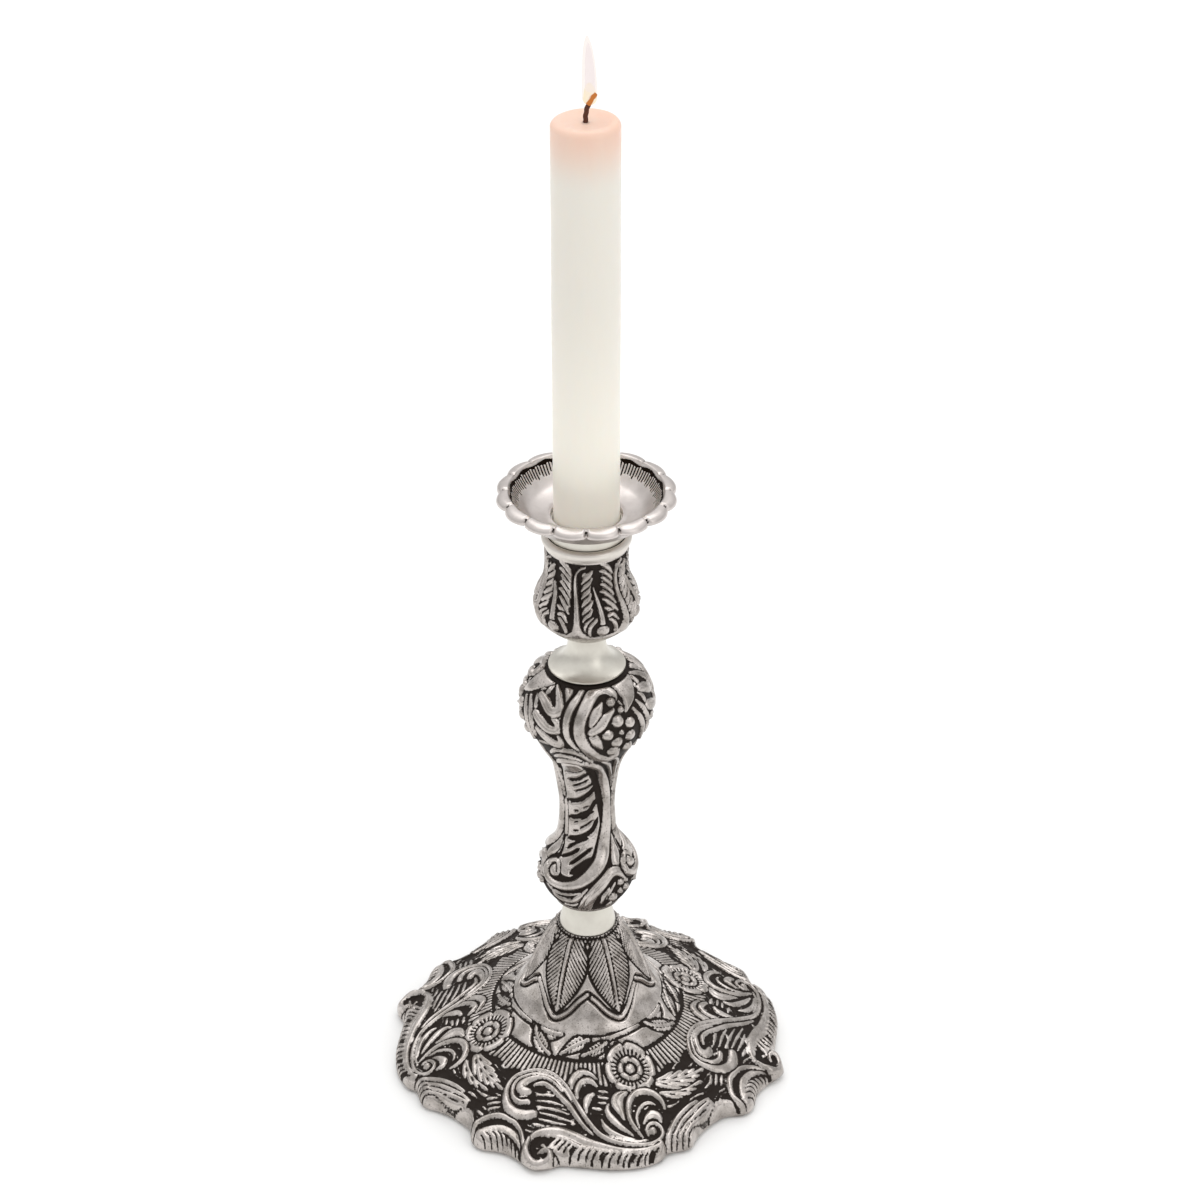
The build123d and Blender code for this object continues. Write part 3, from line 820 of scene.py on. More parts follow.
def paint_shaft(relief):
    """The ribbed panel, and the long band that winds down from the ball to a curl on the knop."""
    relief.band(
        [(-22, 131), (-20, 124), (-14, 115), (-9, 106), (-11, 98.5), (-19, 93.5), (-29, 90)],
        [8.0, 10.5, 11.0, 11.5, 12.8, 13.4, 9.0], top=1.2, round_off=0.1,
    )
    relief.band([(-50, 99), (-50.5, 108), (-54, 117), (-55, 126)], [1.5, 1.5, 1.4, 0.9], top=1.2)
    relief.band([(-57, 92), (-54, 95.5)], [1.6, 0.8], top=1.1)
    for line, width in (
        ([(-35, 123.2), (-15, 124.5), (2, 127.8)], 1.6),
        ([(-46, 113), (-14, 115), (8, 118.8), (15, 121.5)], 1.8),
        ([(-42, 106.3), (-15, 108), (8, 111), (20, 115.5)], 1.7),
        ([(-17, 107.4), (-6, 108.3), (3, 109.4)], 2.6),
        ([(-44, 97.6), (-12, 99.5), (12, 102.5), (23, 107)], 1.8),
        ([(-24, 87.3), (-3, 91), (13, 92)], 2.2),
        ([(-36, 127), (-15, 128.2), (-5, 130)], 1.1),
        ([(-26, 120.9), (-5, 123.3), (1, 124.6)], 1.0),
        ([(-23, 118.6), (0, 120.8), (11, 122.8)], 1.0),
        ([(-41, 94.2), (-25, 96.7), (3, 99.2)], 1.1),
        ([(-47, 91.3), (-31, 93), (-15, 95.2)], 1.1),
        ([(-28, 90.0), (-9, 93.2), (10, 95.6)], 1.1),
        ([(-28, 109.6), (-19, 110.2)], 0.7),
        ([(-8, 111.4), (3, 112.4)], 0.6),
        ([(2, 108.4), (15, 110)], 0.7),
        ([(-15, 103), (-3, 104.3), (13, 106.4)], 0.7),
        ([(-29, 105), (-19, 105.6)], 0.6),
        ([(-31, 101.4), (-18, 102)], 0.6),
    ):
        relief.cut(line, 1.25 * width, 1.2)
    relief.swell = 1.15
    relief.bands(
        ([(14, 136.4), (30, 131.6), (44, 125.6), (54, 118.4), (58, 112)], [0.6, 1.7, 1.7, 1.4, 0.5]),
        ([(30, 136.6), (42, 132.6), (54, 127), (62, 120.5), (65, 114)], [0.6, 2.0, 1.9, 1.5, 0.5]),
        top=1.2,
    )
    relief.band([(46, 88.6), (52, 92.2), (57.5, 97.8)], [3.4, 3.9, 1.2], top=1.3)
    relief.band([(-46, 78.2), (-32, 76.3), (-14, 77.5), (0, 82.8)], [0.8, 2.1, 2.4, 0.7], top=1.2)
    relief.boss((-19, 78.0), 0.5, top=0.0, moat=0)
    relief.bands(
        ([(-56, 80.2), (-40, 78.8), (-20, 79.6), (-8, 81.0)], [0.6, 1.1, 1.2, 0.5]),
        ([(-30, 73.6), (-16, 74.4), (-8, 76.4)], [0.8, 1.3, 0.5]),
        ([(28, 73.0), (32, 75.6), (40, 76.4)], [1.4, 1.5, 0.6]),
        ([(24, 77.0), (28, 80.4), (36, 83.4)], [0.8, 1.1, 0.5]),
        top=1.1, moat=0.3,
    )
    relief.band(
        [(-3.5, 72.6), (2, 78), (13, 82.6), (26, 86.0), (38, 87.0), (48, 85.6), (53, 82.4)],
        [4.4, 4.2, 4.0, 3.9, 3.4, 3.0, 2.4], top=1.35, creases=(0.35,), crease=0.25,
    )
    relief.band([(17, 75.6), (20.5, 79), (27, 81.8)], [0.8, 1.7, 0.7], top=1.2, moat=0.3)
    berries = [((43, 82.6), 1.35), ((32, 77.2), 1.85), ((42, 79.0), 1.2), ((52, 79.3), 1.4)]
    for centre, radius in berries:
        relief.boss(centre, radius, top=1.7)
    relief.band(
        [(-38, 133.4), (-22, 135.6), (-6, 135.2), (10, 132.6), (24, 127.3), (38, 119.5), (46, 113),
         (47.5, 107), (45, 102), (36, 96), (22, 91.2), (3, 87.2), (-16, 83.8), (-35, 82.2), (-52, 82.6),
         (-62.5, 85), (-61.5, 87.8), (-54, 89.0), (-46, 87.2)],
        [1.4, 2.6, 2.6, 2.5, 2.7, 3.2, 3.1, 2.9, 3.2, 3.9, 4.1, 4.3, 4.3, 3.9, 3.2, 2.6, 2.2, 2.2, 1.4],
        top=1.6, moat=1.0, round_off=0.45,
    )
    relief.boss((-46.5, 86.6), 2.3, top=1.9, moat=0.3)
    relief.band(
        [(-60.5, 88.0), (-54, 89.3), (-45.5, 89.2), (-40.8, 87.0)],
        [1.5, 1.5, 1.5, 1.2], top=1.6, moat=0.2,
    )


def paint_ball(relief):
    """The scrolls, lobes and berries round the ball."""
    relief.swell = 1.3
    relief.band(
        [(-38, 139), (-27, 141.9), (-10, 142.0), (-1, 139.6), (5, 136)],
        [1.2, 1.9, 2.1, 2.4, 1.2], top=1.3,
    )
    relief.band([(-37, 136.8), (-24, 138.7), (-12, 138.3), (-6, 136.8)], [0.8, 1.6, 1.6, 0.8], top=1.2)
    relief.band([(-50, 142.2), (-38, 143.2), (-26, 142.8)], [0.8, 1.2, 0.6], top=1.0)
    relief.bands(
        ([(-30, 163.0), (-26.5, 158.6), (-25, 153.5), (-25.5, 148.6)], [0.8, 1.2, 1.1, 0.5]),
        ([(-48.5, 163.6), (-47.5, 161.4), (-52, 157.4), (-51.5, 151.2)], [1.6, 1.3, 1.0, 0.5]),
        top=1.1,
    )
    relief.band([(-24, 163.6), (-19.5, 161.0), (-21.5, 157.2)], [2.4, 1.8, 0.6], top=1.2)
    relief.bands(
        ([(37, 163.4), (33.5, 160.6), (36.5, 158.8)], [1.6, 1.1, 0.5]),
        ([(63, 160), (66, 156.0), (66.5, 150), (64, 144)], [1.6, 1.3, 1.1, 0.6]),
        top=1.1,
    )
    relief.bands(
        ([(-66, 158), (-60, 154.5), (-55.5, 149.5), (-53, 144)], [0.8, 1.9, 1.9, 0.8]),
        ([(-73, 156.5), (-66.5, 152), (-62, 146.5), (-60, 141)], [0.8, 1.9, 1.9, 0.8]),
        ([(-56, 163.2), (-55.6, 160.4)], [2.0, 1.2]),
        top=1.2,
    )
    relief.band(
        [(-48, 148.5), (-40, 146.5), (-33, 144.9), (-25, 144.5), (-23.4, 146.6), (-26, 148.8)],
        [1.6, 3.0, 3.1, 2.8, 2.0, 0.8], top=1.3, moat=0.35, creases=(0.2,), crease=0.2,
    )
    relief.bands(
        ([(-51, 153.6), (-44, 152.0), (-35, 150.4), (-26.8, 150.9), (-25.6, 153.0), (-32, 155.0),
          (-41, 156.6)],
         [2.8, 3.5, 3.0, 2.5, 2.1, 1.4, 0.5]),
        ([(-53, 160.0), (-44, 158.9), (-36, 156.9), (-29, 157.2), (-27.8, 159.4), (-33, 161.9),
          (-42, 163.5)],
         [2.2, 3.3, 3.1, 2.7, 2.2, 1.8, 0.8]),
        top=1.35, moat=0.35, creases=(0.2,), crease=0.2,
    )
    relief.band(
        [(51.5, 163.6), (47, 160.5), (42, 158.3), (38, 156.4)],
        [8.5, 5.6, 3.2, 0.6], top=1.2, round_off=0.2,
    )
    relief.band(
        [(-6, 163.6), (-15, 160), (-18.5, 155), (-17.6, 150), (-13, 146), (-6.5, 143)],
        [1.8, 2.3, 2.2, 2.0, 1.6, 0.6], top=1.4, moat=0.9,
    )
    relief.band([(6, 149.6), (9, 146.6), (14, 143.8)], [2.8, 3.0, 0.8], top=1.2)
    relief.band([(5, 154.2), (8.5, 157.6), (15.5, 160.7)], [2.2, 3.4, 1.0], top=1.2, moat=0.3)
    relief.band(
        [(4, 151.4), (11.5, 153.2), (18, 156), (26, 158.2)],
        [2.2, 2.9, 2.6, 1.0], top=1.3, moat=0.3,
    )
    for centre, radius in (
        ((28.5, 154.1), 2.25),
        ((40.5, 152.2), 2.0),
        ((18.5, 149.6), 2.05),
        ((27.5, 145.6), 2.15),
        ((40.8, 146.9), 2.15),
        ((41.5, 141.4), 2.0),
        ((31, 149.7), 1.0),
        ((33.2, 157.6), 1.25),
    ):
        relief.boss(centre, radius, top=1.75, moat=0.3)
    relief.band(
        [(27, 160.6), (31, 162.2), (22, 163.6), (8, 163.0), (-1, 160), (-6, 155.5), (-6.4, 150.5),
         (-2.5, 146), (4, 141.8), (12.5, 138.6), (22, 137.2), (29, 138.4), (30.5, 141.2)],
        [2.2, 2.4, 3.0, 3.4, 3.3, 3.2, 3.2, 3.2, 3.1, 3.0, 2.8, 2.2, 1.4],
        top=1.5, moat=0.55, round_off=0.4,
    )
    relief.boss((25.5, 160.5), 1.7, top=1.8, moat=0.3)
    relief.boss((25, 141.5), 2.2, top=1.9, moat=0.3)


def relief_rings(relief, height, tarnish, columns, grain, start=0.0, end=None):
    """Rings of a turned form pushed out by its relief. columns is a list of (largest radius, count)."""
    rings, shade = [], []
    end = relief.profile.length if end is None else end
    for s in np.linspace(start, end, int((end - start) / grain) + 1):
        r, z, out_r, out_z = relief.profile.at(s)
        count = next(count for largest, count in columns if r <= largest)
        degrees = np.arange(count) * 360 / count
        h = relief.sampled(height, degrees, np.full(count, s)) - TOP_LEVEL
        rings.append(circle(r + out_r * h, z + out_z * h, count, degrees))
        shade.append(relief.sampled(tarnish, degrees, np.full(count, s)))
    return rings, shade


def stem():
    """The knop, shaft and ball with their relief, round the hole for the rod."""
    relief = TurnedRelief(Profile(STEM_PROFILE), 3, 0.2)
    paint_shaft(relief)
    paint_ball(relief)
    relief.level(67, 69.6, TOP_LEVEL)
    relief.level(69.6, 70.4, 0.0)
    relief.level(163.7, 165, 0.0)
    height, tarnish = relief.finished()
    rings, shade = relief_rings(relief, height, tarnish, [(11.5, 180), (99, 360)], 0.4)
    columns = 360
    bottom, top = rings[0][0][2], rings[-1][0][2]
    rings = [circle(ROD_HOLE, bottom, columns)] + rings + [circle(ROD_HOLE, top, columns)]
    shade = [np.full(columns, HIDDEN)] + shade + [np.full(columns, HIDDEN)]
    return ring_mesh("stem_relief", rings, shade, joined=True)


# ---------------------------------------------------------------- the candle cup

CUP_PROFILE = [
    (6.6, 177.0),
    (10.8, 179.6),
    (15.8, 184.2),
    (17.8, 189.4),
    (16.8, 194.0),
    (14.6, 199.0),
    (13.8, 204.5),
    (13.9, 211.7),
]


def paint_cup(relief):
    """Six acanthus leaves with a bud between each pair."""
    mid = -13.0  # degrees at which a leaf's middle stands
    relief.swell = 1.24
    relief.bands(
        ([(mid - 13.5, 191.6), (mid - 15, 197), (mid - 17, 203), (mid - 18.5, 209)],
         [2.4, 3.2, 3.4, 2.6]),
        ([(mid + 10.5, 192.4), (mid + 11.5, 197), (mid + 12, 203), (mid + 11, 207)],
         [2.4, 3.0, 3.0, 2.0]),
        top=0.95,
    )
    for i in range(7):
        z = 192.4 + 2.5 * i
        tip = 1.5 * math.sin(2.1 * i)
        tip_end, root = (mid - 26.5 + tip, z + 3.4), (mid - 8, z - 1.2)
        lobe = [tip_end, (mid - 21, z + 2.9), (mid - 14, z + 1.3), root]
        relief.band(lobe, [0.6, 1.7, 1.5, 0.5], top=1.35, moat=0.22)
    for i in range(6):
        z = 191.6 + 2.6 * i
        tip = 1.5 * math.sin(1.7 * i)
        root, tip_end = (mid + 5.5, z - 0.8), (mid + 20 + tip, z + 4.0)
        lobe = [root, (mid + 10, z + 0.6), (mid + 15, z + 2.0), tip_end]
        relief.band(lobe, [0.5, 1.5, 1.9, 0.6], top=1.35, moat=0.22)
    relief.bands(
        ([(mid - 20.5, 192.4), (mid - 15.5, 190.8), (mid - 11.6, 187.6), (mid - 11, 184.9)],
         [1.4, 1.4, 1.2, 1.0]),
        ([(mid - 20.5, 193.0), (mid - 15, 193.1), (mid - 9, 190.8)], [1.2, 1.4, 0.6]),
        ([(mid + 11, 184.9), (mid + 10.6, 188.4), (mid + 14, 191.2), (mid + 21, 192.9)],
         [1.0, 1.3, 1.4, 0.7]),
        ([(mid + 17, 184.9), (mid + 16.4, 188), (mid + 18.6, 190.2), (mid + 25, 192.3)],
         [1.0, 1.2, 1.3, 1.2]),
        top=1.25,
    )
    relief.band(
        [(mid + 31.6, 190), (mid + 30.6, 194), (mid + 27.6, 198), (mid + 22.4, 202.4)],
        [1.7, 1.5, 1.2, 0.5], top=1.35, moat=0.6,
    )
    relief.boss((mid + 32, 187.3), 2.35, top=1.6, moat=0.6)
    relief.band(
        [(mid + 2, 184.0), (mid + 2, 187.5), (mid + 2, 190.5), (mid + 1, 195), (mid - 1.2, 199),
         (mid - 3, 203.6), (mid - 1.6, 207.2), (mid + 4, 209.4), (mid + 11, 210.0)],
        [7.0, 3.2, 2.0, 1.7, 1.5, 1.2, 1.0, 0.9, 0.5], top=1.5, moat=0.7,
    )


def cup():
    """The leafy cup with its plain lip, and its hollow as the CAD has it."""
    relief = TurnedRelief(Profile(CUP_PROFILE), 6, 0.15)
    paint_cup(relief)
    relief.level(176, 184.4, TOP_LEVEL)
    relief.level(211.0, 212, TOP_LEVEL)
    height, tarnish = relief.finished()
    rings, shade = relief_rings(relief, height, tarnish, [(9.0, 192), (99, 384)], 0.3)
    lip = [
        (14.15, 212.2),
        (14.45, 212.8),
        (14.75, 213.4),
        (14.98, 214.0),
        (15.05, 214.6),
        (14.98, 215.1),
        (14.65, 215.5),
        (14.1, 215.8),
        (13.6, 215.95),
        (13.35, 216.0),
        (13.2, 215.8),
        (12.2, 215.8),
        (12.2, 192.0),
        (9.0, 192.0),
        (9.0, 181.0),
    ]
    for r, z in lip:
        rings.append(circle(r, z, 384))
        shade.append(np.full(384, PLAIN if r > 13.3 else 1.0 if z > 215 else HIDDEN))
    for z in (181.0, 177.0):
        rings.append(circle(ROD_HOLE, z, 192))
        shade.append(np.full(192, HIDDEN))
    return ring_mesh("cup_relief", rings, shade, joined=True)


# ---------------------------------------------------------------- the drip pan

SCALLOPS = 16
SCALLOP_CENTRE = 20.8
SCALLOP_RADIUS = 9.0
FINE_FROM = 21.0  # radius from which the pan's rings have their full count


def drip_pan():
    """The dish with its engraved ring, and a rim that rolls out and down in sixteen lobes."""
    columns = 1024
    degrees = np.arange(columns) * 360 / columns
    off_lobe = (degrees * SCALLOPS / 360) % 1 - 0.5
    turn = np.radians(off_lobe * 360 / SCALLOPS)
    half_chord = np.sqrt(SCALLOP_RADIUS**2 - (SCALLOP_CENTRE * np.sin(turn)) ** 2)
    edge = SCALLOP_CENTRE * np.cos(turn) + half_chord
    nick = np.exp(-((0.5 - np.abs(off_lobe)) / 0.055) ** 2)
    wave = np.cos(2 * math.pi * off_lobe)
    tick = np.abs(((degrees * 128 / 360) % 1) - 0.5) * 2

    dish = [(11.9, 223.0), (14.0, 223.0), (19.0, 224.4), (22.6, 227.7), (24.4, 230.3), (25.6, 231.9)]
    rings, shade = [], []
    for r, z in smooth(dish, 10):
        if r < FINE_FROM:
            rings.append(circle(r, z, columns // 2))
            shade.append(np.zeros(columns // 2))
            continue
        ring_edge = 25.15 + 0.2 * wave
        ragged = 0.35 * np.sin(np.radians(degrees * 37)) + 0.2 * np.sin(np.radians(degrees * 61))
        ticks = ease(0.35, 0.7, tick) * ease(22.0, 22.6, r + ragged) * ease(25.0, 24.6, r)
        sunk = ease(24.3, 24.7, r + 0.4 * ragged) * ease(ring_edge + 0.2, ring_edge - 0.15, r)
        dark = np.maximum(ticks, sunk)
        rings.append(circle(r, z - 0.3 * dark, columns, degrees))
        shade.append(dark)
    crest = 26.3 + 0.15 * wave - 0.25 * nick
    drop, crown = 2.2, 230.1
    for angle in np.radians(np.linspace(100, -10, 16)):
        reach = edge - 0.7 * nick - crest
        r = np.where(angle > math.pi / 2, crest + 3 * math.cos(angle), crest + reach * math.cos(angle))
        z = crown + drop * math.sin(angle) - 0.45 * nick * max(math.sin(angle), 0)
        rings.append(circle(r, z, columns, degrees))
        shade.append(0.75 * nick * ease(-0.2, 0.5, math.sin(angle)) * ease(1.0, 0.8, math.sin(angle)))
    rings.append(circle(edge - 0.7 * nick - 0.5, 229.4, columns, degrees))
    shade.append(0.3 * nick)
    underneath = [
        (27.6, 231.0), (26.4, 231.3), (24.4, 228.6), (19.6, 222.5), (15.0, 221.5), (11.9, 221.5),
    ]
    for r, z in underneath:
        count = columns if r > FINE_FROM else columns // 2
        rings.append(circle(r, z, count))
        shade.append(np.full(count, 0.15))
    return ring_mesh("pan_relief", rings, shade, joined=True)


# ---------------------------------------------------------------- candle, wick and flame


def candle():
    """The candle with its melted top, slightly out of true as poured wax is."""
    bottom, top, radius, shoulder = 196.0, 361.0, 11.0, 2.2
    columns = 128
    degrees = np.arange(columns) * 360 / columns
    uneven = np.cos(np.radians(degrees - 70)) + 0.5 * np.cos(np.radians(2 * degrees + 30))
    rings = [circle(0.9, bottom, columns), circle(radius - 0.3, bottom, columns)]
    for z in np.linspace(bottom + 0.3, top - shoulder, 80):
        wobble = 0.035 * math.sin(z / 9.0) + 0.03 * np.cos(np.radians(degrees) * 2 + z / 31.0)
        rings.append(circle(radius - 0.06 + wobble, z, columns))
    for angle in np.radians(np.linspace(0, 90, 10))[1:]:
        lift = shoulder * math.sin(angle)
        ring_radius = radius - shoulder + shoulder * math.cos(angle)
        z = top - shoulder + lift + 0.18 * uneven * math.sin(angle)
        rings.append(circle(ring_radius, z, columns))
    for r, drop in ((8.0, 0.15), (7.0, 0.5), (5.5, 0.85), (3.5, 1.0), (1.8, 0.95), (0.9, 0.7)):
        rings.append(circle(r, top - drop + 0.12 * uneven * (r / 9), columns))
    return ring_mesh("candle_wax", rings, joined=True)


def tube(name, line, radii, sides, twist, flute):
    """A solid tube along a line of points in mm, with three flutes that wind round it."""
    line = np.array(line, float)
    ahead = np.gradient(line, axis=0)
    ahead /= np.linalg.norm(ahead, axis=1)[:, None]
    rings = []
    for i, (centre, direction) in enumerate(zip(line, ahead)):
        across = np.cross(direction, (0.0, 1.0, 0.0))
        across /= np.linalg.norm(across)
        up = np.cross(across, direction)
        angles = np.linspace(0, 2 * math.pi, sides, endpoint=False)
        radius = radii[i] * (1 + flute * np.cos(3 * angles + twist * i))
        sideways = np.outer(radius * np.cos(angles), across)
        rings.append(centre + sideways + np.outer(radius * np.sin(angles), up))
    return ring_mesh(name, rings)


def wick():
    """The charred wick, braided, which stands up and leans over towards its glowing tip."""
    lean = np.radians(np.linspace(0, 43.5, 24))
    bend = np.stack([11.6 * (1 - np.cos(lean)), 0 * lean, 361.5 + 11.6 * np.sin(lean)], axis=1)
    stand = np.stack([np.zeros(12), np.zeros(12), np.linspace(358.5, 361.2, 12)], axis=1)
    line = np.vstack([stand, bend])
    last = len(line) - 1
    radii = np.interp(np.arange(len(line)), [0, 12, last - 3, last], [0.82, 0.74, 0.76, 0.55])
    split = len(line) - 11
    charred = tube("wick_braid", line[:split], radii[:split], 24, twist=0.9, flute=0.14)
    ember = tube("wick_ember", line[split - 1 :], radii[split - 1 :], 24, twist=0.9, flute=0.14)
    return charred, ember


def flame_shell(name, base, height, width, lean, low_share):
    """One shell of the flame: a drop that is widest low down and draws out to a point."""
    rings = []
    for t in (1 - np.cos(np.linspace(0, math.pi, 48))) / 2:
        opening = math.sin(math.pi / 2 * min(1.0, t / low_share)) ** 0.7
        swell = (1 - t**3.8) ** 0.62 * (1 - 0.18 * t) * opening
        radius = max(width / 2 * swell, 0.03)
        centre = base[0] + lean * t**1.6 + 0.12 * math.sin(4 * t)
        ring = circle(radius, base[2] + height * t, 40)
        ring[:, 0] += centre
        ring[:, 1] += base[1]
        rings.append(ring)
    return ring_mesh(name, rings)


# ---------------------------------------------------------------- building


RANGE_SOCKETS = ("From Min", "From Max", "To Min", "To Max")


class Shader:
    """A material's node tree, written a node at a time."""

    def __init__(self, name):
        self.material = bpy.data.materials.new(name)
        self.material.use_nodes = True
        self.tree = self.material.node_tree
        self.tree.nodes.clear()
        self.principled = self.node("ShaderNodeBsdfPrincipled")
        output = self.node("ShaderNodeOutputMaterial")
        self.link(self.principled.outputs["BSDF"], output.inputs["Surface"])

    def node(self, kind, **settings):
        """A new node with its settings."""
        node = self.tree.nodes.new(kind)
        for key, value in settings.items():
            setattr(node, key, value)
        return node

    def link(self, source, target):
        """Joins an output to an input."""
        self.tree.links.new(source, target)

    def set(self, **values):
        """Constants or linked outputs for the shader's sockets, by their names with _ for spaces."""
        for key, value in values.items():
            socket = self.principled.inputs[key.replace("_", " ")]
            if isinstance(value, bpy.types.NodeSocket):
                self.link(value, socket)
            else:
                socket.default_value = value

    def position(self, stretch=(1, 1, 1)):
        """Object coordinates, which are metres in the shared frame, stretched."""
        coordinates = self.node("ShaderNodeTexCoord")
        mapping = self.node("ShaderNodeMapping")
        mapping.inputs["Scale"].default_value = stretch
        self.link(coordinates.outputs["Object"], mapping.inputs["Vector"])
        return mapping.outputs["Vector"]

    def noise(self, size, detail=3.0, roughness=0.55, stretch=(1, 1, 1)):
        """Noise with features of about size millimetres."""
        node = self.node("ShaderNodeTexNoise")
        node.inputs["Scale"].default_value = 1 / (size * MM)
        node.inputs["Detail"].default_value = detail
        node.inputs["Roughness"].default_value = roughness
        self.link(self.position(stretch), node.inputs["Vector"])
        return node.outputs["Fac"]

    def ramp(self, value, low, high, out_low=0.0, out_high=1.0):
        """A smooth step of a value from one range to another."""
        node = self.node("ShaderNodeMapRange", interpolation_type="SMOOTHSTEP")
        for key, number in zip(RANGE_SOCKETS, (low, high, out_low, out_high)):
            node.inputs[key].default_value = number
        self.link(value, node.inputs["Value"])
        return node.outputs["Result"]

    def math(self, operation, first, second):
        """A sum or product of two values, each a number or a linked output."""
        node = self.node("ShaderNodeMath", operation=operation)
        for socket, value in zip(node.inputs, (first, second)):
            if isinstance(value, bpy.types.NodeSocket):
                self.link(value, socket)
            else:
                socket.default_value = value
        return node.outputs["Value"]

    def mix(self, factor, first, second):
        """A mix of two colours, each a tuple or a linked output."""
        node = self.node("ShaderNodeMix", data_type="RGBA")
        self.link(factor, node.inputs["Factor"])
        for socket, value in ((node.inputs[6], first), (node.inputs[7], second)):
            if isinstance(value, bpy.types.NodeSocket):
                self.link(value, socket)
            else:
                socket.default_value = (*value, 1.0)
        return node.outputs[2]

    def bump(self, height, depth, strength=1.0):
        """A bump of a depth in millimetres."""
        node = self.node("ShaderNodeBump")
        node.inputs["Distance"].default_value = depth * MM
        node.inputs["Strength"].default_value = strength
        self.link(height, node.inputs["Height"])
        self.link(node.outputs["Normal"], self.principled.inputs["Normal"])


SILVER = (0.585, 0.54, 0.51)
DULL_SILVER = (0.33, 0.30, 0.275)
TURNED_SILVER = (0.70, 0.66, 0.61)
PATINA = (0.014, 0.0085, 0.0055)


def antiqued_metal():
    """Bright raised silver over blackened recesses. The mesh says how blackened each place is."""
    shader = Shader("antiqued_metal")
    tarnish = shader.node("ShaderNodeAttribute", attribute_name="tarnish").outputs["Fac"]
    ragged = shader.ramp(shader.noise(0.7, 4.0), 0.3, 0.7, -0.2, 0.2)
    dark = shader.ramp(shader.math("ADD", tarnish, ragged), 0.3, 0.62)
    pits = shader.ramp(shader.noise(0.5, 3.0), 0.6, 0.7)
    on_relief = shader.ramp(tarnish, -0.6, -0.2)
    pitted = shader.math("MULTIPLY", pits, shader.math("MULTIPLY", on_relief, 0.85))
    dark = shader.math("MAXIMUM", dark, pitted)
    film = shader.ramp(shader.noise(6.0, 4.0), 0.35, 0.7)
    metal = shader.mix(film, SILVER, DULL_SILVER)
    turned = shader.ramp(tarnish, -0.1, -0.9)
    metal = shader.mix(turned, metal, TURNED_SILVER)
    on_patina = shader.ramp(dark, 0.0, 1.0, 0.2, 0.62)
    rough = shader.math("ADD", on_patina, shader.math("MULTIPLY", turned, 0.16))
    uneven = shader.ramp(shader.noise(2.5, 3.0), 0.3, 0.7, -0.04, 0.08)
    shader.set(
        Base_Color=shader.mix(dark, metal, PATINA),
        Metallic=shader.ramp(dark, 0.2, 0.9, 1.0, 0.05),
        Specular_IOR_Level=0.2,
        Roughness=shader.math("ADD", rough, uneven),
    )
    fine = shader.noise(0.5, 4.0)
    grain = shader.math("ADD", fine, shader.math("MULTIPLY", shader.noise(2.2, 3.0), 1.6))
    shader.bump(grain, 0.05, 0.7)
    return shader.material


def turned_metal(name, bright, dull, roughness, line_depth, tarnish=False):
    """Metal turned on a lathe and wiped with patina, with fine tool lines round it."""
    shader = Shader(name)
    film = shader.ramp(shader.noise(5.0, 4.0), 0.35, 0.72)
    metal = shader.mix(film, bright, dull)
    smudge = shader.ramp(shader.noise(14.0, 3.0), 0.4, 0.75, -0.03, 0.09)
    rough = shader.math("ADD", smudge, roughness)
    if tarnish:
        sunk = shader.node("ShaderNodeAttribute", attribute_name="tarnish").outputs["Fac"]
        ragged = shader.ramp(shader.noise(0.6, 4.0), 0.3, 0.7, -0.18, 0.18)
        dark = shader.ramp(shader.math("ADD", sunk, ragged), 0.35, 0.65)
        metal = shader.mix(dark, metal, PATINA)
        rough = shader.math("ADD", rough, shader.math("MULTIPLY", dark, 0.4))
    shader.set(Base_Color=metal, Metallic=1.0, Roughness=rough)
    tool_lines = shader.noise(0.25, 2.0, stretch=(0.02, 0.02, 1.0))
    dents = shader.noise(7.0, 2.0)
    shader.bump(shader.math("ADD", tool_lines, shader.math("MULTIPLY", dents, 2.5)), line_depth, 0.6)
    return shader.material


def board():
    """Brown pressed fibreboard."""
    shader = Shader("board")
    fibres = shader.noise(0.8, 6.0, 0.7, (0.25, 1.0, 1.0))
    brown, tan = (0.10, 0.055, 0.028), (0.23, 0.14, 0.075)
    shader.set(Base_Color=shader.mix(fibres, brown, tan), Roughness=0.85)
    shader.bump(fibres, 0.15, 0.6)
    return shader.material


def felt():
    """Black wool felt."""
    shader = Shader("felt")
    wool = shader.noise(0.5, 8.0, 0.75)
    tufts = shader.ramp(shader.noise(3.0, 4.0), 0.3, 0.7)
    black, grey = (0.006, 0.007, 0.006), (0.035, 0.037, 0.033)
    shader.set(
        Base_Color=shader.mix(shader.math("MULTIPLY", wool, tufts), black, grey),
        Roughness=0.95,
        Sheen_Weight=0.4,
    )
    shader.bump(wool, 0.3, 0.8)
    return shader.material


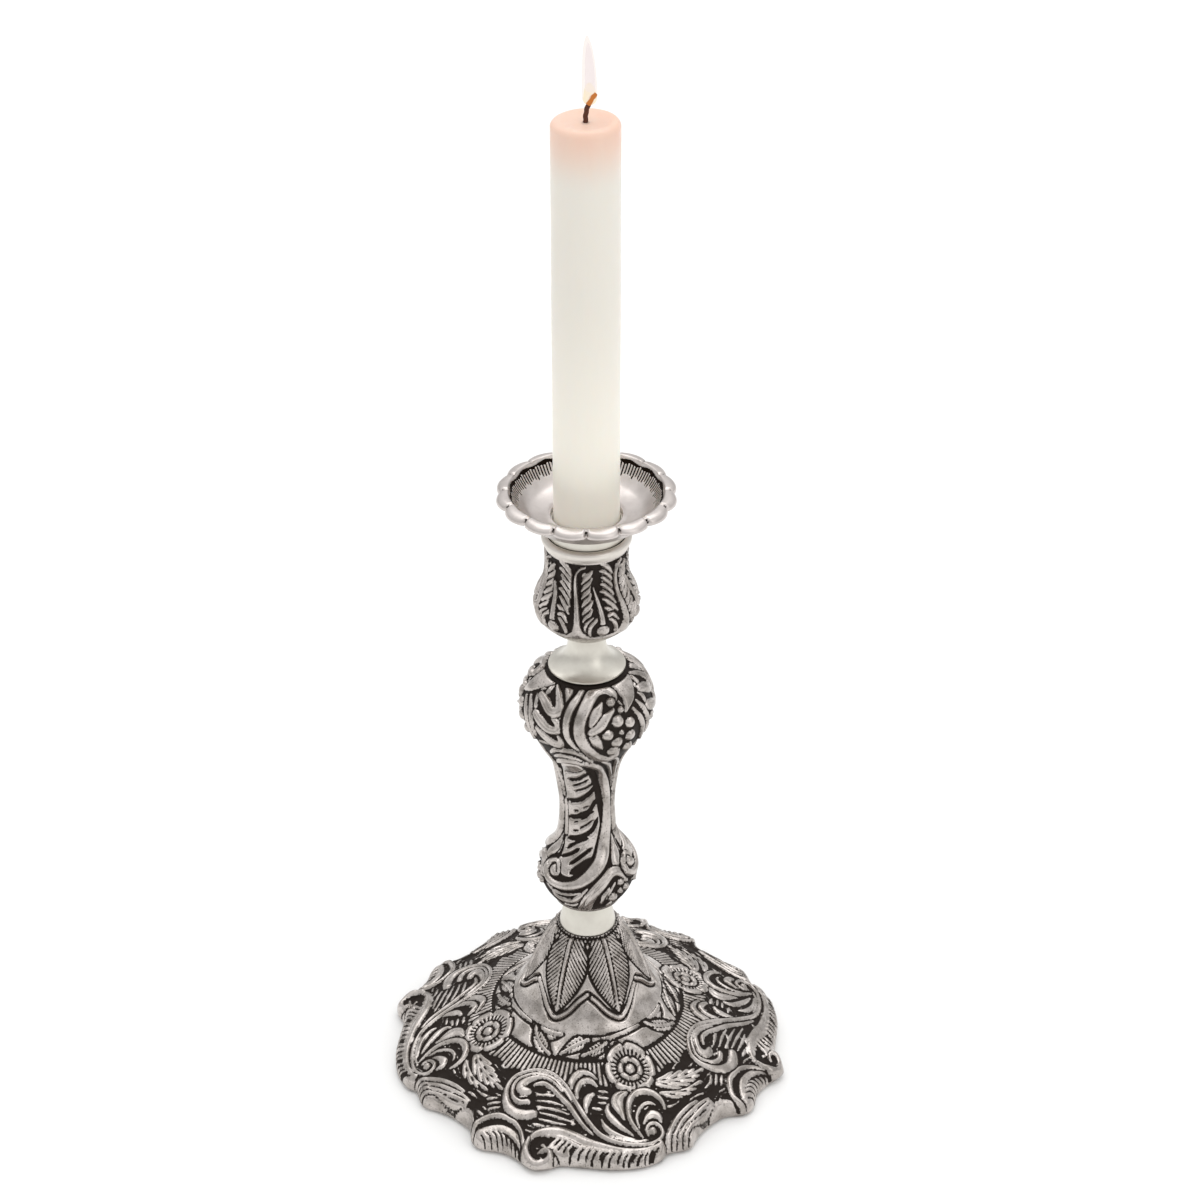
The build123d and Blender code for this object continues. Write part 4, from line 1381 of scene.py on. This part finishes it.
def wax(bottom, top):
    """Cream wax, with painted light that brightens it low down where it stands in the pan, glowing
    through near the flame, and with a faint even painted glow all over.
    """
    shader = Shader("wax")
    height = shader.node("ShaderNodeSeparateXYZ")
    shader.link(shader.position(), height.inputs["Vector"])
    z = height.outputs["Z"]
    cool, painted_light_low, glow = (0.685, 0.66, 0.60), (0.86, 0.83, 0.74), (0.735, 0.475, 0.365)
    # Painted light: the wax is painted brighter over its lowest few centimetres, where the pan shades
    # it.
    body = shader.mix(shader.ramp(z, bottom + 0.028, bottom + 0.115), painted_light_low, cool)
    lit = shader.ramp(z, top - 0.021, top - 0.001)
    cloud = shader.ramp(shader.noise(16.0, 3.0, stretch=(1, 1, 0.4)), 0.3, 0.7, 0.82, 1.0)
    shader.set(
        Base_Color=shader.mix(shader.math("MULTIPLY", lit, cloud), body, glow),
        Roughness=shader.ramp(shader.noise(4.0, 4.0), 0.3, 0.7, 0.34, 0.5),
        Subsurface_Weight=0.35,
        Subsurface_Scale=0.004,
        # Painted light: a faint even glow from all the wax, which lifts its shade low down.
        Emission_Color=(0.95, 0.88, 0.78, 1.0),
        Emission_Strength=0.12,
    )
    shader.principled.inputs["Subsurface Radius"].default_value = (1.0, 0.7, 0.5)
    shader.bump(shader.noise(9.0, 4.0, stretch=(1, 1, 0.35)), 0.12, 0.7)
    return shader.material


def cotton():
    """Charred cotton."""
    shader = Shader("wick_cotton")
    strands = shader.noise(0.35, 4.0, 0.7, (1.0, 1.0, 0.35))
    charred, scorched = (0.022, 0.008, 0.005), (0.16, 0.05, 0.025)
    shader.set(Base_Color=shader.mix(strands, charred, scorched), Roughness=0.9)
    shader.bump(strands, 0.1, 0.9)
    return shader.material


def glowing(name, colour, strength, alpha):
    """A shell of flame: one flat glow, seen through."""
    shader = Shader(name)
    shader.set(
        Base_Color=(0.0, 0.0, 0.0, 1.0),
        Roughness=1.0,
        Specular_IOR_Level=0.0,
        Emission_Color=(*colour, 1.0),
        Emission_Strength=strength,
        Alpha=alpha,
    )
    return shader.material


def plain_floor():
    """A matt pale floor."""
    shader = Shader("floor")
    shader.set(Base_Color=(0.93, 0.93, 0.925, 1.0), Roughness=0.75, Specular_IOR_Level=0.2)
    return shader.material


def finish_with(piece, material):
    """Makes a material the only one on a piece."""
    piece.data.materials.clear()
    piece.data.materials.append(material)


def place(piece, body, material, slot, *nodes):
    """Gives a piece its material and its body, and hides the CAD nodes that it stands for."""
    finish_with(piece, material)
    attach(piece, body)
    if nodes:
        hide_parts(*nodes)


antiqued = antiqued_metal()
satin = turned_metal("satin_metal", (0.69, 0.665, 0.60), (0.63, 0.60, 0.54), 0.33, 0.012)
polished = turned_metal(
    "polished_metal", (0.66, 0.61, 0.585), (0.575, 0.53, 0.505), 0.33, 0.012, tarnish=True
)
plated = turned_metal("plated_steel", (0.62, 0.6, 0.52), (0.5, 0.47, 0.4), 0.3, 0.03)
candle_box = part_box("candle")

place(foot(), "candlestick", antiqued, "antiqued_metal", "foot_casting")
place(stem(), "candlestick", antiqued, "antiqued_metal", "stem_casting")
place(cup(), "candlestick", antiqued, "antiqued_metal", "candle_cup")
place(drip_pan(), "nozzle", polished, "polished_metal", "drip_pan")
place(candle(), "candle", wax(candle_box[0].z, candle_box[1].z), "wax", "candle")
charred_wick, ember = wick()
place(charred_wick, "candle", cotton(), "wick_cotton", "wick")
place(ember, "candle", glowing("ember", (0.56, 0.19, 0.05), 1.0, 1.0), None)

FLAME_SHELLS = [
    # name, base, height, width, lean, share of the height where it is widest, glow, colour, opacity
    ("flame_outer", (1.15, 2.0, 364.6), 22.8, 4.9, -0.6, 0.14, "flame_glow", (0.95, 0.86, 0.80), 0.45),
    ("flame_core", (1.35, 2.0, 366.6), 18.5, 3.4, -0.5, 0.2, "flame_light", (0.90, 0.79, 0.84), 0.5),
    ("flame_root", (1.2, 2.1, 364.8), 7.4, 4.5, 0.0, 0.3, "flame_root", (1.0, 0.82, 0.42), 0.62),
]
for name, base, height, width, lean, widest, glow, colour, opacity in FLAME_SHELLS:
    shell = flame_shell(name, base, height, width, lean, widest)
    place(shell, "candle", glowing(glow, colour, 1.0, opacity), None)

for node in ("lower_collar", "upper_collar", "nozzle_ring", "socket_sleeve"):
    finish_with(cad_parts[node], satin)
for node in ("foot_washer", "foot_spring_washer", "foot_nut", "tie_rod", "cup_washer", "cup_nut"):
    finish_with(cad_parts[node], plated)
finish_with(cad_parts["cover_board"], board())
finish_with(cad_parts["felt_pad"], felt())


# ---------------------------------------------------------------- studio


def studio_floor():
    """A wide round floor, which isn't part of the object."""
    bpy.ops.mesh.primitive_circle_add(vertices=128, radius=6.0, fill_type="NGON", location=(0, 0, 0))
    floor = bpy.context.object
    floor.name = "floor"
    finish_with(floor, plain_floor())


def softbox(name, location, target, size, power, colour=(1.0, 1.0, 1.0)):
    """A rectangular soft light that is aimed at a point."""
    light = bpy.data.lights.new(name, "AREA")
    light.shape = "RECTANGLE"
    light.size, light.size_y = size
    light.energy = power
    light.color = colour
    lamp = bpy.data.objects.new(name, light)
    bpy.context.scene.collection.objects.link(lamp)
    lamp.location = location
    aim = Vector(target) - Vector(location)
    lamp.rotation_euler = aim.to_track_quat("-Z", "Y").to_euler()


def studio_camera():
    """A long lens that looks down on the candlestick from the front."""
    lens = bpy.data.cameras.new("camera")
    lens.lens = 94.5
    lens.sensor_width = 36
    lens.clip_start = 0.01
    camera = bpy.data.objects.new("camera", lens)
    bpy.context.scene.collection.objects.link(camera)
    camera.location = (0.0044, -0.895, 0.736)
    camera.rotation_euler = (math.radians(58.6), 0, 0)
    bpy.context.scene.camera = camera


def surroundings(overhead, horizon):
    """A white studio that is brightest overhead and a little darker all round at eye level."""
    world = bpy.data.worlds.new("studio")
    world.use_nodes = True
    nodes, links = world.node_tree.nodes, world.node_tree.links
    direction = nodes.new("ShaderNodeTexCoord")
    split = nodes.new("ShaderNodeSeparateXYZ")
    level = nodes.new("ShaderNodeMapRange")
    level.interpolation_type = "SMOOTHSTEP"
    for key, value in zip(RANGE_SOCKETS, (0.0, 0.75, horizon, overhead)):
        level.inputs[key].default_value = value
    links.new(direction.outputs["Generated"], split.inputs["Vector"])
    links.new(split.outputs["Z"], level.inputs["Value"])
    links.new(level.outputs["Result"], nodes["Background"].inputs["Strength"])
    nodes["Background"].inputs["Color"].default_value = (1.0, 1.0, 1.0, 1.0)
    bpy.context.scene.world = world


studio_floor()
surroundings(0.98, 0.64)
softbox("overhead", (0.0, 0.6, 2.4), (0, 0.3, 0), (2.6, 2.6), 22)
softbox("key", (1.0, -0.9, 0.75), (0, 0, 0.15), (0.8, 1.2), 1.8, (1.0, 0.99, 0.97))
studio_camera()
bpy.context.scene.view_settings.view_transform = "Standard"
